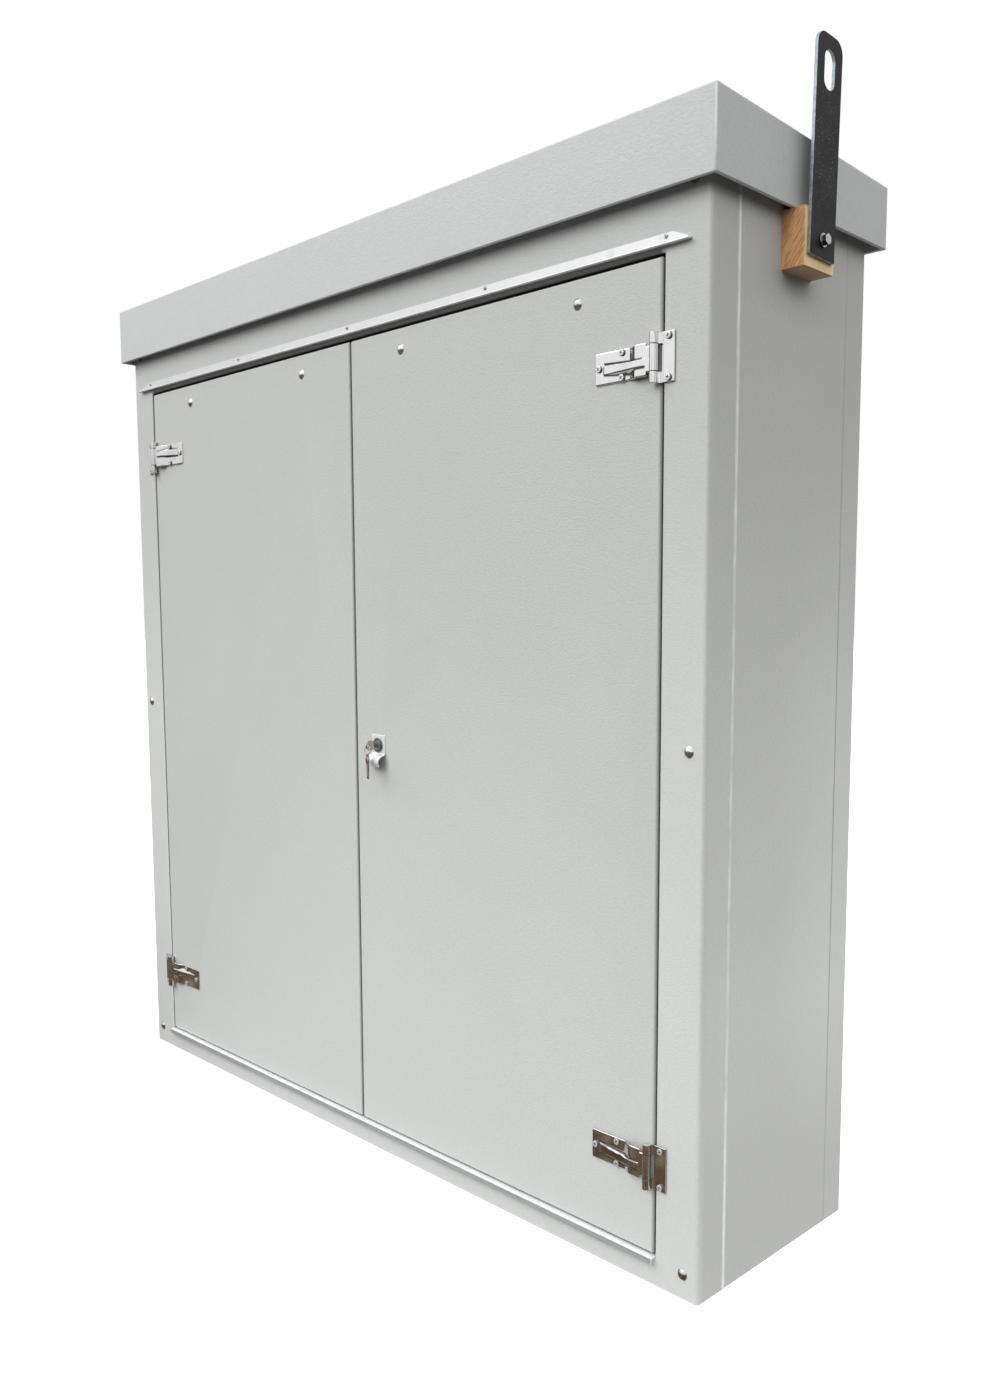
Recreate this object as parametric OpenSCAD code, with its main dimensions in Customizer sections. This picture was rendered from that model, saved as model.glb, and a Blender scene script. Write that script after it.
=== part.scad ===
// Double-door glass-fibre (GRP) cabinet with an overhanging roof, a keyed lock and a lifting bar.
// Frame: +X right, +Y to the back, +Z up. The origin is on the floor, at the middle of the base bolts.

/* [Cabinet body] */
// Width over the side walls
body_w = 1200; // [1100:1:1400]
// Depth over the front and back walls
body_d = 295; // [270:1:400]
// Height from the floor to the roof's front edge
total_h = 1250; // [1150:1:1400]
// Thickness of the moulded walls
wall = 5; // [4:0.5:6]
// Radius of the body's upright corners
corner_r = 4.5; // [3:0.5:12]
// Depth of the front moulding's side returns
front_return = 44; // [40:1:55]
// Depth of the back moulding's side returns
back_return = 39; // [34:1:50]
// Width of the sealant bead behind the front return
seam_w = 5; // [4:0.5:7]
// Width of the sealed joint before the back return
back_seam_w = 2; // [1:0.5:4]
// Height of the front bead over the wall
bead_proud = 1; // [0.5:0.1:1.5]
// Width of the straps bonded behind the seams
strap_w = 50; // [40:1:60]
// Thickness of the straps
strap_t = 4; // [3:0.5:5]

/* [Roof] */
// Fall of the roof from front to back
roof_fall = 14; // [5:1:20]
// Depth of the skirt at the front
roof_skirt = 83.5; // [70:0.5:100]
// Overhang over the front wall
roof_front = 16; // [12:0.5:25]
// Overhang over each side wall
roof_side = 15.5; // [10:0.5:18]
// Overhang over the back wall
roof_back = 20; // [12:0.5:25]
// Thickness of the roof moulding
roof_wall = 5; // [4:0.5:6]
// Radius along the roof's top edges
roof_edge_r = 3; // [2:0.5:10]
// Radius of the roof's upright corners
roof_corner_r = 3; // [2:0.5:12]
// Bedding gap between the walls and the roof
roof_gap = 0.2; // [0.1:0.05:0.5]
// Thickness of the timber frame under the roof
top_frame_t = 18; // [12:1:22]
// Width of the timber frame under the roof
top_frame_w = 45; // [35:1:55]

/* [Door opening] */
// Width of the front frame beside the opening
stile_w = 58.9; // [56:0.1:66]
// Height of the frame between the opening and the skirt
head_h = 57; // [50:0.5:70]
// Height of the frame under the opening
sill_h = 32; // [28:0.5:36]
// Depth from the front face to the door stop
rebate_d = 25; // [23:0.5:28]
// Width of the door stop at the sides
jamb_stop_w = 25; // [22:0.5:30]
// Width of the door stop at the top and bottom
head_stop_w = 14; // [13:0.5:16]
// Width of the seal on the door stop
gasket_w = 9; // [7:0.5:10]
// Distance of the seal from the stop's inner edge
gasket_inset = 2; // [1:0.5:3]
// Clearance between the seal and a shut door
gasket_clear = 0.3; // [0.3:0.1:0.6]

/* [Doors] */
// Thickness of a door
door_t = 20; // [17:0.5:21]
// Thickness of a door's moulded skin
door_skin = 3.5; // [2.5:0.5:5]
// Gap at the hinge side of a door
door_side_gap = 2.4; // [1.5:0.1:3]
// Gap above a door
door_top_gap = 2.7; // [2:0.1:4]
// Gap between the sill trim and a door
door_low_gap = 2.2; // [1.5:0.1:4]
// Gap between the two doors
meet_gap = 2.4; // [2:0.1:3]
// Place of that gap to the right of the middle
meet_x = 3.5; // [0:0.5:6]
// Radius of the doors' corners
door_corner_r = 3; // [2:0.5:6]
// Thickness of the seal strip on the meeting edge
meet_seal_t = 1.2; // [0.8:0.1:1.2]
// Depth of that strip's front edge behind the door's face
meet_seal_in = 6; // [4:0.5:8]
// Height of the stiffening angle across a door's top
stiffener_h = 25; // [20:1:26]
// Depth of the stiffening angle
stiffener_d = 24; // [15:1:24]
// Thickness of the stiffening angle
stiffener_t = 3; // [2:0.5:4]
// Length of the stiffening angle past each of its bolts
stiffener_end = 20; // [14:1:24]
// Place of the stiffener's bolts below the door's top
door_bolt_drop = 26.8; // [25:0.2:30]
// Place of the outer bolt from the door's hinge edge
door_bolt_out = 119.7; // [100:0.1:160]
// Place of the inner bolt from the middle of the cabinet
door_bolt_in = 110.6; // [95:0.2:150]

/* [Fasteners] */
// Diameter of the dome bolts' heads
dome_d = 13; // [10:0.5:14]
// Height of the dome bolts' heads
dome_h = 3.2; // [3:0.1:5]
// Diameter of the dome bolts' shanks
dome_shank_d = 6; // [5:0.5:7]
// Size of their nuts across the flats
dome_nut_af = 10; // [9:0.5:13]
// Height of their nuts
dome_nut_h = 5; // [4:0.5:6]
// Clearance round a fastener in its hole
hole_clear = 0.1; // [0.08:0.01:0.2]
// Length of thread past a nut
thread_show = 1; // [0.5:0.1:2]
// Distance of the frame bolts from the side wall
frame_bolt_in = 21; // [18:0.5:23]
// Height of the lower frame bolts
frame_bolt_low = 28; // [24:0.5:32]
// Height of the upper frame bolts above the skirt's edge
frame_bolt_up = 7.5; // [6.5:0.5:12]

/* [Inner frame] */
// Width of the base flange
base_flange = 50; // [45:1:60]
// Height of the base upstand
base_up = 40; // [37:1:50]
// Thickness of the base angle
base_t = 5; // [4:0.5:6]
// Diameter of the plinth bolt holes
plinth_hole_d = 14; // [11:0.5:16]
// Width of each leg of the stile angles
angle_leg = 30; // [26:1:32]
// Thickness of the stile angles
angle_t = 3; // [2:0.5:4]
// Clearance at the ends of the stile angles and straps
end_clear = 2; // [1:0.5:5]
// Width of the equipment board
board_w = 1040; // [900:1:1050]
// Height of the equipment board
board_h = 1000; // [800:1:1040]
// Height of the board's lower edge
board_z = 90; // [60:1:110]
// Thickness of the board
board_t = 18; // [12:1:24]
// Thickness of the battens behind the board
batten_t = 20; // [15:1:30]
// Width of the battens
batten_w = 45; // [35:1:60]
// Number of battens
batten_n = 3; // [2:1:4]
// Diameter of the board screws' heads
board_screw_d = 10; // [8:0.5:12]

/* [Weather trims] */
// Length of the drip rail along its lip
rail_l = 1150; // [1120:1:1160]
// Cut-back of the rail's top corners
rail_cut = 23.5; // [10:0.5:30]
// Height of the rail's web
rail_h = 11; // [9:0.5:16]
// Place of the web's lower edge above the opening
rail_up = 7; // [4:0.5:12]
// Thickness of the rail
rail_t = 1.5; // [1:0.25:2]
// Reach of the rail's lip from the wall
rail_out = 6; // [4.5:0.5:10]
// Radius of the bead along the lip
rail_bead_r = 1.5; // [1:0.1:2]
// Drop of the lip's bead below the web
rail_drop = 0.3; // [0:0.1:1.5]
// Place of the outer rivets from the middle
rivet_x = 543.5; // [480:0.5:545]
// Number of rivets
rivet_n = 5; // [3:1:7]
// Diameter of the rivets' heads
rivet_d = 5; // [4:0.5:6]
// Height of the rivets' heads
rivet_h = 1.2; // [0.8:0.1:1.6]
// Distance of the rivets below the rail's top
rivet_drop = 3.2; // [2.8:0.1:4]
// Reach of the sill trim in front of the wall
sill_out = 7; // [4:0.5:10]
// Height of the sill trim's front lip
sill_lip = 7; // [5:0.5:12]
// Thickness of the sill trim
sill_t = 1.5; // [1:0.25:2]
// Gap at the ends of the sill trim
sill_end_gap = 1; // [0.5:0.1:2]

/* [Hinges] */
// Upper hinge below the top of the opening
hinge_top_in = 104; // [80:0.5:150]
// Lower hinge above the bottom of the opening
hinge_low_in = 106; // [80:0.5:150]
// Pin axis inside the door's hinge edge
pin_in = 6.5; // [5.4:0.1:7]
// Pin axis in front of the front face
pin_out = 6; // [5.8:0.1:7]
// Radius of the pin
pin_r = 2; // [1.5:0.1:2.5]
// Length of each domed pin end
pin_end = 1; // [0.8:0.1:2]
// Radius of the knuckles
knuckle_r = 5; // [4.4:0.1:5.2]
// Running clearance round the pin
run_clear = 0.05; // [0.03:0.01:0.08]
// Gap between the knuckles
knuckle_gap = 0.5; // [0.4:0.1:1]
// Clearance of the frame leaf's arms over the door
arm_clear = 0.3; // [0.2:0.1:0.6]
// Lap of those arms over the leaf's plate
arm_lap = 2; // [1:0.5:2.5]
// Thickness of the hinge leaves
leaf_t = 2; // [1.5:0.1:2.2]
// Height of the leaf on the frame
frame_leaf_h = 51; // [46:0.5:60]
// Width of that leaf's plate
frame_leaf_w = 16; // [15:0.5:17]
// Spacing of its screws
frame_screw_step = 41.5; // [36:0.5:43]
// Place of its screws past its edge at the opening
frame_screw_in = 8.6; // [7:0.1:9.5]
// Height of the middle knuckle and the raised arm
mid_knuckle_h = 27; // [22:0.5:29]
// Reach of the door leaf from the pin axis
door_leaf_l = 85.2; // [80:0.1:110]
// Height of the door leaf
door_leaf_h = 34; // [30:0.5:40]
// Distance of the leaf's wide part from the pin axis
leaf_near = 10; // [8:0.5:14]
// Start of the ramp that lifts the leaf to the knuckle
ramp_from = 38; // [35:0.5:41]
// Run of that ramp
ramp_run = 12; // [8:0.5:14]
// Radius of the leaves' corners
leaf_corner_r = 2; // [1:0.5:3]
// Distance of the end screw from the leaf's free end
end_screw_in = 6; // [4.4:0.1:8]
// Distance of the paired screws from the leaf's free end
pair_screw_in = 38.5; // [34:0.5:40]
// Spacing of the paired screws
pair_screw_step = 26; // [22:0.5:26]
// Width of the pressed rib behind the leaf
rib_w = 12; // [10:0.5:13]
// Width of the pressed rib in front of the leaf
rib_top_w = 7; // [6:0.5:9]
// Height of the pressed rib over the raised part
rib_h = 1.4; // [1:0.1:1.8]
// Height of the pressed rib at its outer end
rib_start = 0.6; // [0.4:0.1:1]
// Gap between the rib and the end screw
rib_end_gap = 7; // [5:0.5:9]
// Distance of the rib's inner end from the pin axis
rib_near = 13; // [12:0.5:18]
// Place of the rib off the leaf's middle line
rib_off = 2; // [0:0.5:2.5]
// Diameter of the hinge screws' heads
screw_head_d = 7.6; // [6.5:0.1:8]
// Height of the hinge screws' heads
screw_head_h = 2.2; // [1.5:0.1:3]
// Diameter of the hinge screws' shanks
screw_d = 4; // [3:0.1:4.5]
// Length of the hinge screws under the head
screw_l = 14; // [10:0.5:16]
// Depth of the moulded pads behind the hinges
pad_d = 16; // [15:0.5:18]
// Height of those pads past the leaf
pad_end = 4; // [2:0.5:8]

/* [Lock and pull] */
// Place of the lock to the right of the middle
lock_x = 54; // [46:0.5:70]
// Height of the lock
lock_z = 571; // [450:1:750]
// Width of the pull plate
pull_w = 28; // [24:0.5:34]
// Height of the pull plate's flat
pull_h = 28; // [25:0.5:36]
// Thickness of the pull plate
pull_t = 1.5; // [1:0.25:2]
// Reach of the pull's lip from the door
pull_out = 15; // [12:0.5:16]
// Drop of the sloping part of the lip
pull_slope = 11; // [8:0.5:14]
// Drop of the turned-down edge
pull_edge = 6; // [4:0.5:8]
// Diameter of the lock's head
lock_head_d = 20; // [18:0.5:22]
// Thickness of the lock's head
lock_head_t = 2; // [1.5:0.25:3]
// Diameter of the lock's threaded barrel
lock_barrel_d = 16; // [15:0.5:17]
// Diameter of the turning plug
plug_d = 12; // [10.5:0.5:12.5]
// Size of the lock nut across the flats
lock_nut_af = 22; // [20:0.5:25]
// Thickness of the lock nut
lock_nut_t = 4; // [3:0.5:5]
// Length of the cam from the lock's axis
cam_l = 66; // [62:0.5:70]
// Width of the cam
cam_w = 14; // [12:0.5:18]
// Thickness of the cam
cam_t = 2.5; // [2:0.25:3]
// Diameter of the plug's tail in the cam
tail_d = 8; // [7:0.25:9]
// Length of the cam screw in the plug
cam_screw_in = 3; // [2:0.5:5]
// Clearance between the cam and its keeper
cam_clear = 0.5; // [0.3:0.1:1]
// Width of the cam keeper on the other door
keeper_w = 24; // [20:0.5:30]
// Height of the cam keeper
keeper_h = 36; // [30:1:50]

/* [Keys] */
// Diameter of a key's bow
bow_d = 14; // [12:0.5:18]
// Thickness of a key
key_t = 1.8; // [1.5:0.1:2]
// Width of a key's blade
blade_w = 5.6; // [5:0.1:6]
// Length of a key's blade past the shoulder
blade_l = 20; // [16:0.5:21]
// Shoulder of the key in front of the lock
key_stand = 4; // [2:0.5:6]
// Diameter of the hole in a bow
bow_hole_d = 3.6; // [3:0.1:4]
// Distance of that hole from the bow's middle
bow_hole_out = 4; // [3.6:0.1:4.2]
// Radius of the ring that carries the spare key
ring_r = 8; // [6.5:0.5:10]
// Radius of the ring's wire
wire_r = 0.6; // [0.5:0.05:0.7]
// Lean of the hanging spare key away from the door
hang_tilt = 18; // [14:1:30]
// Play of the ring and the key's blade
key_play = 0.1; // [0.08:0.01:0.15]
// Gap at the key's tip in the plug
key_tip_gap = 1; // [0.5:0.1:2]

/* [Shoot bolts] */
// Place of the bolts to the left of the middle
shoot_x = 30; // [22:0.5:45]
// Radius of the bolts
shoot_r = 5; // [4:0.5:6]
// Length of the bolts
shoot_l = 143; // [135:1:160]
// Clearance of a drawn bolt's tip from the door stop
shoot_tip_gap = 2.5; // [1.5:0.5:4]
// Width of the guides
guide_w = 26; // [22:1:32]
// Height of the guides
guide_h = 12; // [10:1:16]
// Distance of the upper guide from the drawn bolt's tip
guide_tip = 26; // [22:1:30]
// Wall of the guides behind the bolt
guide_wall = 2; // [1.5:0.25:3]
// Spacing of the guides
guide_step = 90; // [80:1:96]
// Radius of the thumb knobs
knob_r = 4; // [3:0.5:5]
// Reach of the thumb knobs from the bolt
knob_l = 12; // [9:0.5:16]
// Thickness of the wear plates on the door stop
wear_t = 2; // [1.5:0.25:3]
// Width of the wear plates
wear_w = 30; // [24:1:40]
// Clearance between the bolts and the wear plates
shoot_clear = 0.4; // [0.3:0.1:0.8]

/* [Lifting bar] */
// Place of the bar behind the middle of the cabinet
lug_y = 3; // [-30:1:30]
// Width of the oak block
block_w = 57.5; // [50:0.5:70]
// Height of the oak block
block_h = 60.5; // [52:0.5:70]
// Thickness of the oak block
block_t = 28; // [24:0.5:40]
// Width of the bar
bar_w = 48; // [38:0.5:52]
// Height of the bar
bar_h = 225.5; // [200:0.5:260]
// Thickness of the bar
bar_t = 4; // [3:0.5:8]
// Height of the bar's foot above the block's foot
bar_up = 11.5; // [5:0.5:12]
// Radius of the bar's top corners
bar_corner_r = 14; // [6:0.5:18]
// Lean of the bar towards the back
bar_lean = 2; // [0:0.5:2.5]
// Width of the lifting eye
eye_w = 20; // [16:0.5:24]
// Height of the lifting eye
eye_h = 40.5; // [30:0.5:50]
// Distance of the eye below the bar's top
eye_drop = 14.5; // [12:0.5:20]
// Height of the bolt above the bar's foot
lug_bolt_up = 18.5; // [15:0.5:22]
// Diameter of the bolt
lug_bolt_d = 8; // [7:0.5:10]
// Size of the bolt's head across the flats
lug_bolt_af = 13; // [12:0.5:16]
// Thickness of the bolt's head and of its nut
lug_bolt_head = 5.5; // [4:0.5:7]
// Diameter of the washer
washer_d = 18; // [17.5:0.5:22]
// Thickness of the washer
washer_t = 1.6; // [1:0.1:2]
// Size of the square plate inside the wall
plate_w = 60; // [50:1:80]
// Thickness of the plate inside the wall
plate_t = 4; // [3:0.5:6]

/* [Hidden] */
$fn = 48;

front_y = -body_d / 2;
back_y = body_d / 2;
half_w = body_w / 2;
past = 1;
inner_corner_r = max(corner_r - wall, 0.5);

// Roof: the top plane falls evenly from the front edge to the back edge
roof_y0 = front_y - roof_front;
roof_y1 = back_y + roof_back;
roof_slope = roof_fall / (roof_y1 - roof_y0);
roof_angle = atan(roof_slope);
skirt_z = total_h - roof_skirt;
function roof_top(y) = total_h - roof_slope * (y - roof_y0);
function roof_under(y) = roof_top(y) - roof_wall;
function wall_top(y) = roof_under(y) - roof_gap;
inner_top = wall_top(back_y) - top_frame_t - end_clear;

// Opening and doors
open_x = half_w - stile_w;
open_top = skirt_z - head_h;
door_x = open_x - door_side_gap;
door_top = open_top - door_top_gap;
sill_top = sill_h + sill_t;
door_low = sill_top + door_low_gap;
left_edge = meet_x - meet_gap / 2;
right_edge = meet_x + meet_gap / 2;
door_back = front_y + door_t;
stop_y = front_y + rebate_d;
stop_back = stop_y + wall;
door_bolt_z = door_top - door_bolt_drop;
door_bolts_x = [door_bolt_in, door_x - door_bolt_out];

// Fasteners of the frame
frame_bolt_x = half_w - frame_bolt_in;
function frame_bolt_z(i) = frame_bolt_low + (skirt_z + frame_bolt_up - frame_bolt_low) * i / 2;
angle_x = half_w - corner_r - end_clear - angle_leg;
dome_hole_r = dome_shank_d / 2 + hole_clear;
screw_hole_r = screw_d / 2 + hole_clear;
rivet_hole_r = rivet_d / 4 + hole_clear;
pan_round = 0.45;

// Plinth holes, in the middle of the base flange
plinth_x = half_w - wall - base_flange / 2;
plinth_y = back_y - wall - base_flange / 2;

// Hinges: the pin stands in front of the face, just inside the door's edge
pin_x = door_x - pin_in;
pin_y = front_y - pin_out;
upper_hinge_z = open_top - hinge_top_in;
lower_hinge_z = sill_h + hinge_low_in;
bore_r = pin_r + run_clear;
plate_x0 = open_x - pin_x - door_side_gap / 2;
frame_screw_x = plate_x0 + frame_screw_in;
end_screw_x = -door_leaf_l + end_screw_in;
pair_screw_x = -door_leaf_l + pair_screw_in;
pad_w = frame_screw_in + plate_x0 + screw_d + pin_x - open_x;

// Lock, keys and cam
head_y = front_y - pull_t - lock_head_t;
cam_y = door_back + lock_nut_t + thread_show + cam_clear;
keeper_y = cam_y - cam_clear;
cam_back = cam_y + cam_t;
bow_y = head_y - key_stand - bow_d / 2;
ring_y = bow_y - bow_hole_out;
bow_hole_r = bow_hole_d / 2;
wire_drop = bow_hole_r - wire_r - key_play;

// Shoot bolts, behind the door stop
shoot_y = stop_back + wear_t + shoot_clear + shoot_r;
shoot_top = open_top - head_stop_w - shoot_tip_gap;
shoot_low = sill_h + head_stop_w + shoot_tip_gap;

// Lifting bar
block_x = half_w + block_t;
bar_foot = skirt_z - block_h + bar_up;
lug_bolt_z = bar_foot + lug_bolt_up;
lug_hole_r = lug_bolt_d / 2 + hole_clear;

grp_grey = [0.72, 0.74, 0.72];
grp_inside = [0.80, 0.80, 0.77];
stainless = [0.80, 0.80, 0.82];
bright_aluminium = [0.86, 0.87, 0.88];
galvanised = [0.62, 0.64, 0.66];
oak = [0.70, 0.50, 0.30];
plywood = [0.78, 0.65, 0.46];
dark_rubber = [0.10, 0.10, 0.10];
sealant_grey = [0.82, 0.84, 0.82];
black_steel = [0.07, 0.07, 0.08];

// Shared shapes
module block(x0, x1, y0, y1, z0, z1) translate([x0, y0, z0]) cube([x1 - x0, y1 - y0, z1 - z0]);

module along_x(x0, x1) translate([x0, 0, 0]) rotate([90, 0, 90]) linear_extrude(x1 - x0) children();

module along_y(y0, y1) translate([0, y1, 0]) rotate([90, 0, 0]) linear_extrude(y1 - y0) children();

module along_z(z0, z1) translate([0, 0, z0]) linear_extrude(z1 - z0) children();

module rod_x(r, x0, x1) translate([x0, 0, 0]) rotate([0, 90, 0]) cylinder(r = r, h = x1 - x0);

module rod_y(r, y0, y1) translate([0, y0, 0]) rotate([-90, 0, 0]) cylinder(r = r, h = y1 - y0);

module rounded(w, d, r) {
    square([w - 2 * r, d], center = true);
    square([w, d - 2 * r], center = true);
    for (sx = [-1, 1], sy = [-1, 1])
        translate([sx * (w / 2 - r), sy * (d / 2 - r)]) circle(r);
}

module rounded_box(x0, x1, z0, z1, r) translate([(x0 + x1) / 2, (z0 + z1) / 2])
    rounded(x1 - x0, z1 - z0, r);

module both_sides() {
    children();
    mirror([1, 0, 0]) children();
}

// A dome-headed bolt that points to the back, with its head's flat face at y = 0
module dome_bolt(grip) {
    cap_r = (dome_d * dome_d / 4 + dome_h * dome_h) / (2 * dome_h);
    rotate([90, 0, 0]) rotate_extrude() intersection() {
        translate([0, dome_h - cap_r]) circle(cap_r);
        square([dome_d / 2, dome_h]);
    }
    rod_y(dome_shank_d / 2, -dome_h / 2, grip + dome_nut_h + thread_show);
}

// A hexagon nut with its bearing face at y = 0
module dome_nut() {
    difference() {
        rotate([-90, 0, 0]) cylinder(r = dome_nut_af / 2 / cos(30), h = dome_nut_h, $fn = 6);
        rod_y(dome_hole_r, -past, dome_nut_h + past);
    }
}

// A pan-headed screw that points to the back, with its head's flat face at y = 0
module pan_screw(head_d, head_h, shank_d, length) {
    edge_r = head_h * pan_round;
    rotate([90, 0, 0]) rotate_extrude() union() {
        square([head_d / 2, head_h - edge_r]);
        square([head_d / 2 - edge_r, head_h]);
        translate([head_d / 2 - edge_r, head_h - edge_r]) circle(edge_r);
        translate([0, -length]) square([shank_d / 2, length]);
    }
}

// Plan of the four body walls
module wall_ring() difference() {
    rounded(body_w, body_d, corner_r);
    rounded(body_w - 2 * wall, body_d - 2 * wall, inner_corner_r);
}

// Everything between the floor and the underside of the roof
module under_roof() along_x(-half_w - past, half_w + past) polygon([
    [front_y - past, 0], [back_y + past, 0],
    [back_y + past, wall_top(back_y + past)], [front_y - past, wall_top(front_y - past)]]);

// A part of the body walls between two depths
module wall_part(x0, x1, y0, y1) intersection() {
    along_z(0, total_h) intersection() {
        wall_ring();
        translate([x0, y0]) square([x1 - x0, y1 - y0]);
    }
    under_roof();
}

// Body
module front_frame() color(grp_grey) difference() {
    union() {
        wall_part(-half_w, half_w, front_y, front_y + front_return);
        block(-open_x - wall, open_x + wall, front_y + wall / 2, stop_back, sill_h - wall, open_top + wall);
        both_sides() for (z = [upper_hinge_z, lower_hinge_z])
            block(open_x, open_x + pad_w, front_y + wall / 2, front_y + pad_d,
                z - frame_leaf_h / 2 - pad_end, z + frame_leaf_h / 2 + pad_end);
    }
    block(-open_x, open_x, front_y - past, stop_y, sill_h, open_top);
    block(-open_x + jamb_stop_w, open_x - jamb_stop_w, front_y, stop_back + past,
        sill_h + head_stop_w, open_top - head_stop_w);
    both_sides() for (i = [0:2])
        translate([frame_bolt_x, 0, frame_bolt_z(i)])
            rod_y(dome_hole_r, front_y - past, front_y + wall + past);
    both_sides() for (z = [upper_hinge_z, lower_hinge_z], s = [-1, 1])
        translate([pin_x + frame_screw_x, 0, z + s * frame_screw_step / 2])
            rod_y(screw_hole_r, front_y - past, front_y + screw_l - leaf_t + hole_clear);
    for (i = [0:rivet_n - 1]) translate([rivet_place(i), 0, rivet_z])
        rod_y(rivet_hole_r, front_y - past, front_y + wall + past);
}

module side_panel() wall_part(half_w - wall, half_w, front_y + front_return + seam_w,
    back_y - back_return - back_seam_w);

module left_side_panel() color(grp_grey) mirror([1, 0, 0]) side_panel();

module right_side_panel() color(grp_grey) difference() {
    side_panel();
    translate([0, lug_y, lug_bolt_z]) rod_x(lug_hole_r, half_w - wall - past, half_w + past);
}

module back_panel() color(grp_grey) wall_part(-half_w, half_w, back_y - back_return, back_y);

// The roof's side outline, with both top edges rounded
module roof_side_outline() {
    lift = roof_edge_r * sqrt(1 + roof_slope * roof_slope);
    y0 = roof_y0 + roof_edge_r;
    y1 = roof_y1 - roof_edge_r;
    z0 = roof_top(y0) - lift;
    z1 = roof_top(y1) - lift;
    top = roof_edge_r * [sin(roof_angle), cos(roof_angle)];
    polygon([[roof_y0, skirt_z], [roof_y1, skirt_z], [roof_y1, z1],
        [y1, z1] + top, [y0, z0] + top, [roof_y0, z0]]);
    translate([y0, z0]) circle(roof_edge_r);
    translate([y1, z1]) circle(roof_edge_r);
}

// The roof's front outline, square to the falling top plane
module roof_front_outline() {
    w = body_w + 2 * roof_side;
    depth = roof_skirt + roof_fall;
    square([w - 2 * roof_edge_r, 2 * depth], center = true);
    translate([0, -depth / 2 - roof_edge_r / 2]) square([w, depth - roof_edge_r], center = true);
    for (s = [-1, 1]) translate([s * (w / 2 - roof_edge_r), -roof_edge_r]) circle(roof_edge_r);
}

module roof() color(grp_grey) difference() {
    intersection() {
        along_x(-half_w - roof_side - past, half_w + roof_side + past) roof_side_outline();
        translate([0, roof_y0, total_h]) rotate([-roof_angle, 0, 0]) intersection() {
            along_y(-body_d, 2 * body_d) roof_front_outline();
            block(-body_w, body_w, -body_d, 2 * body_d, -total_h, 0);
        }
        along_z(skirt_z - past, total_h + past) translate([0, (roof_y0 + roof_y1) / 2])
            rounded(body_w + 2 * roof_side, roof_y1 - roof_y0, roof_corner_r);
    }
    along_x(-half_w - roof_side + roof_wall, half_w + roof_side - roof_wall) polygon([
        [roof_y0 + roof_wall, skirt_z - past], [roof_y1 - roof_wall, skirt_z - past],
        [roof_y1 - roof_wall, roof_under(roof_y1 - roof_wall)],
        [roof_y0 + roof_wall, roof_under(roof_y0 + roof_wall)]]);
}

module top_frame() color(plywood) difference() {
    x1 = half_w - wall;
    y1 = back_y - wall;
    along_x(-x1, x1) polygon([
        [-y1, wall_top(-y1) - top_frame_t], [y1, wall_top(y1) - top_frame_t],
        [y1, wall_top(y1)], [-y1, wall_top(-y1)]]);
    block(-x1 + top_frame_w, x1 - top_frame_w, -y1 + top_frame_w, y1 - top_frame_w, 0, total_h);
    both_sides() for (s = [-1, 1]) translate([x1, s * y1]) along_z(0, total_h)
        square(2 * corner_r, center = true);
}

module base_frame() color(galvanised) difference() {
    x1 = half_w - wall;
    y1 = back_y - wall;
    block(-x1, x1, -y1, y1, 0, base_up);
    block(-x1 + base_t, x1 - base_t, -y1 + base_t, y1 - base_t, base_t, base_up + past);
    block(-x1 + base_flange, x1 - base_flange, -y1 + base_flange, y1 - base_flange, -past, base_up);
    block(-open_x - wall, open_x + wall, -y1 - past, -y1 + base_t + past, sill_h - wall, base_up + past);
    both_sides() for (s = [-1, 1]) translate([x1, s * y1]) along_z(-past, base_up + past)
        square(2 * inner_corner_r, center = true);
    for (x = [-plinth_x, 0, plinth_x], s = [-1, 1]) translate([x, s * plinth_y, -past])
        cylinder(d = plinth_hole_d, h = base_t + 2 * past);
    both_sides() translate([frame_bolt_x, 0, frame_bolt_low])
        rod_y(dome_hole_r, front_y, front_y + wall + base_t + past);
}

module stile_angles() color(galvanised) both_sides() difference() {
    union() {
        block(angle_x, angle_x + angle_leg, front_y + wall, front_y + wall + angle_t,
            base_up + end_clear, inner_top);
        block(angle_x, angle_x + angle_t, front_y + wall, front_y + wall + angle_leg,
            base_up + end_clear, inner_top);
    }
    for (i = [1:2]) translate([frame_bolt_x, 0, frame_bolt_z(i)])
        rod_y(dome_hole_r, front_y, front_y + wall + angle_t + past);
}

module seam_straps() color(grp_inside) both_sides()
    for (y = [front_y + front_return + seam_w / 2, back_y - back_return - back_seam_w / 2])
        block(half_w - wall - strap_t, half_w - wall, y - strap_w / 2, y + strap_w / 2,
            base_up + end_clear, inner_top);

// Sealant: a raised bead behind the front return and a flush joint before the back return
module seam_sealant() color(sealant_grey) both_sides() intersection() {
    bead_r = (seam_w * seam_w / 4 + bead_proud * bead_proud) / (2 * bead_proud);
    union() {
        along_z(0, total_h) intersection() {
            translate([half_w - wall, front_y + front_return]) square([wall + bead_proud, seam_w]);
            union() {
                translate([half_w - wall, front_y + front_return]) square([wall, seam_w]);
                translate([half_w + bead_proud - bead_r, front_y + front_return + seam_w / 2])
                    circle(bead_r, $fn = 96);
            }
        }
        block(half_w - wall, half_w, back_y - back_return - back_seam_w, back_y - back_return, 0, total_h);
    }
    translate([past, 0, 0]) under_roof();
}

// Equipment board on its battens
board_back = back_y - wall - batten_t;
board_front = board_back - board_t;
function batten_x(i) = (board_w - batten_w) * (i / (batten_n - 1) - 0.5);

module equipment_board() color(plywood) difference() {
    block(-board_w / 2, board_w / 2, board_front, board_back, board_z, board_z + board_h);
    board_screw_places() rod_y(screw_hole_r, board_front - past, board_back + past);
}

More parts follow.
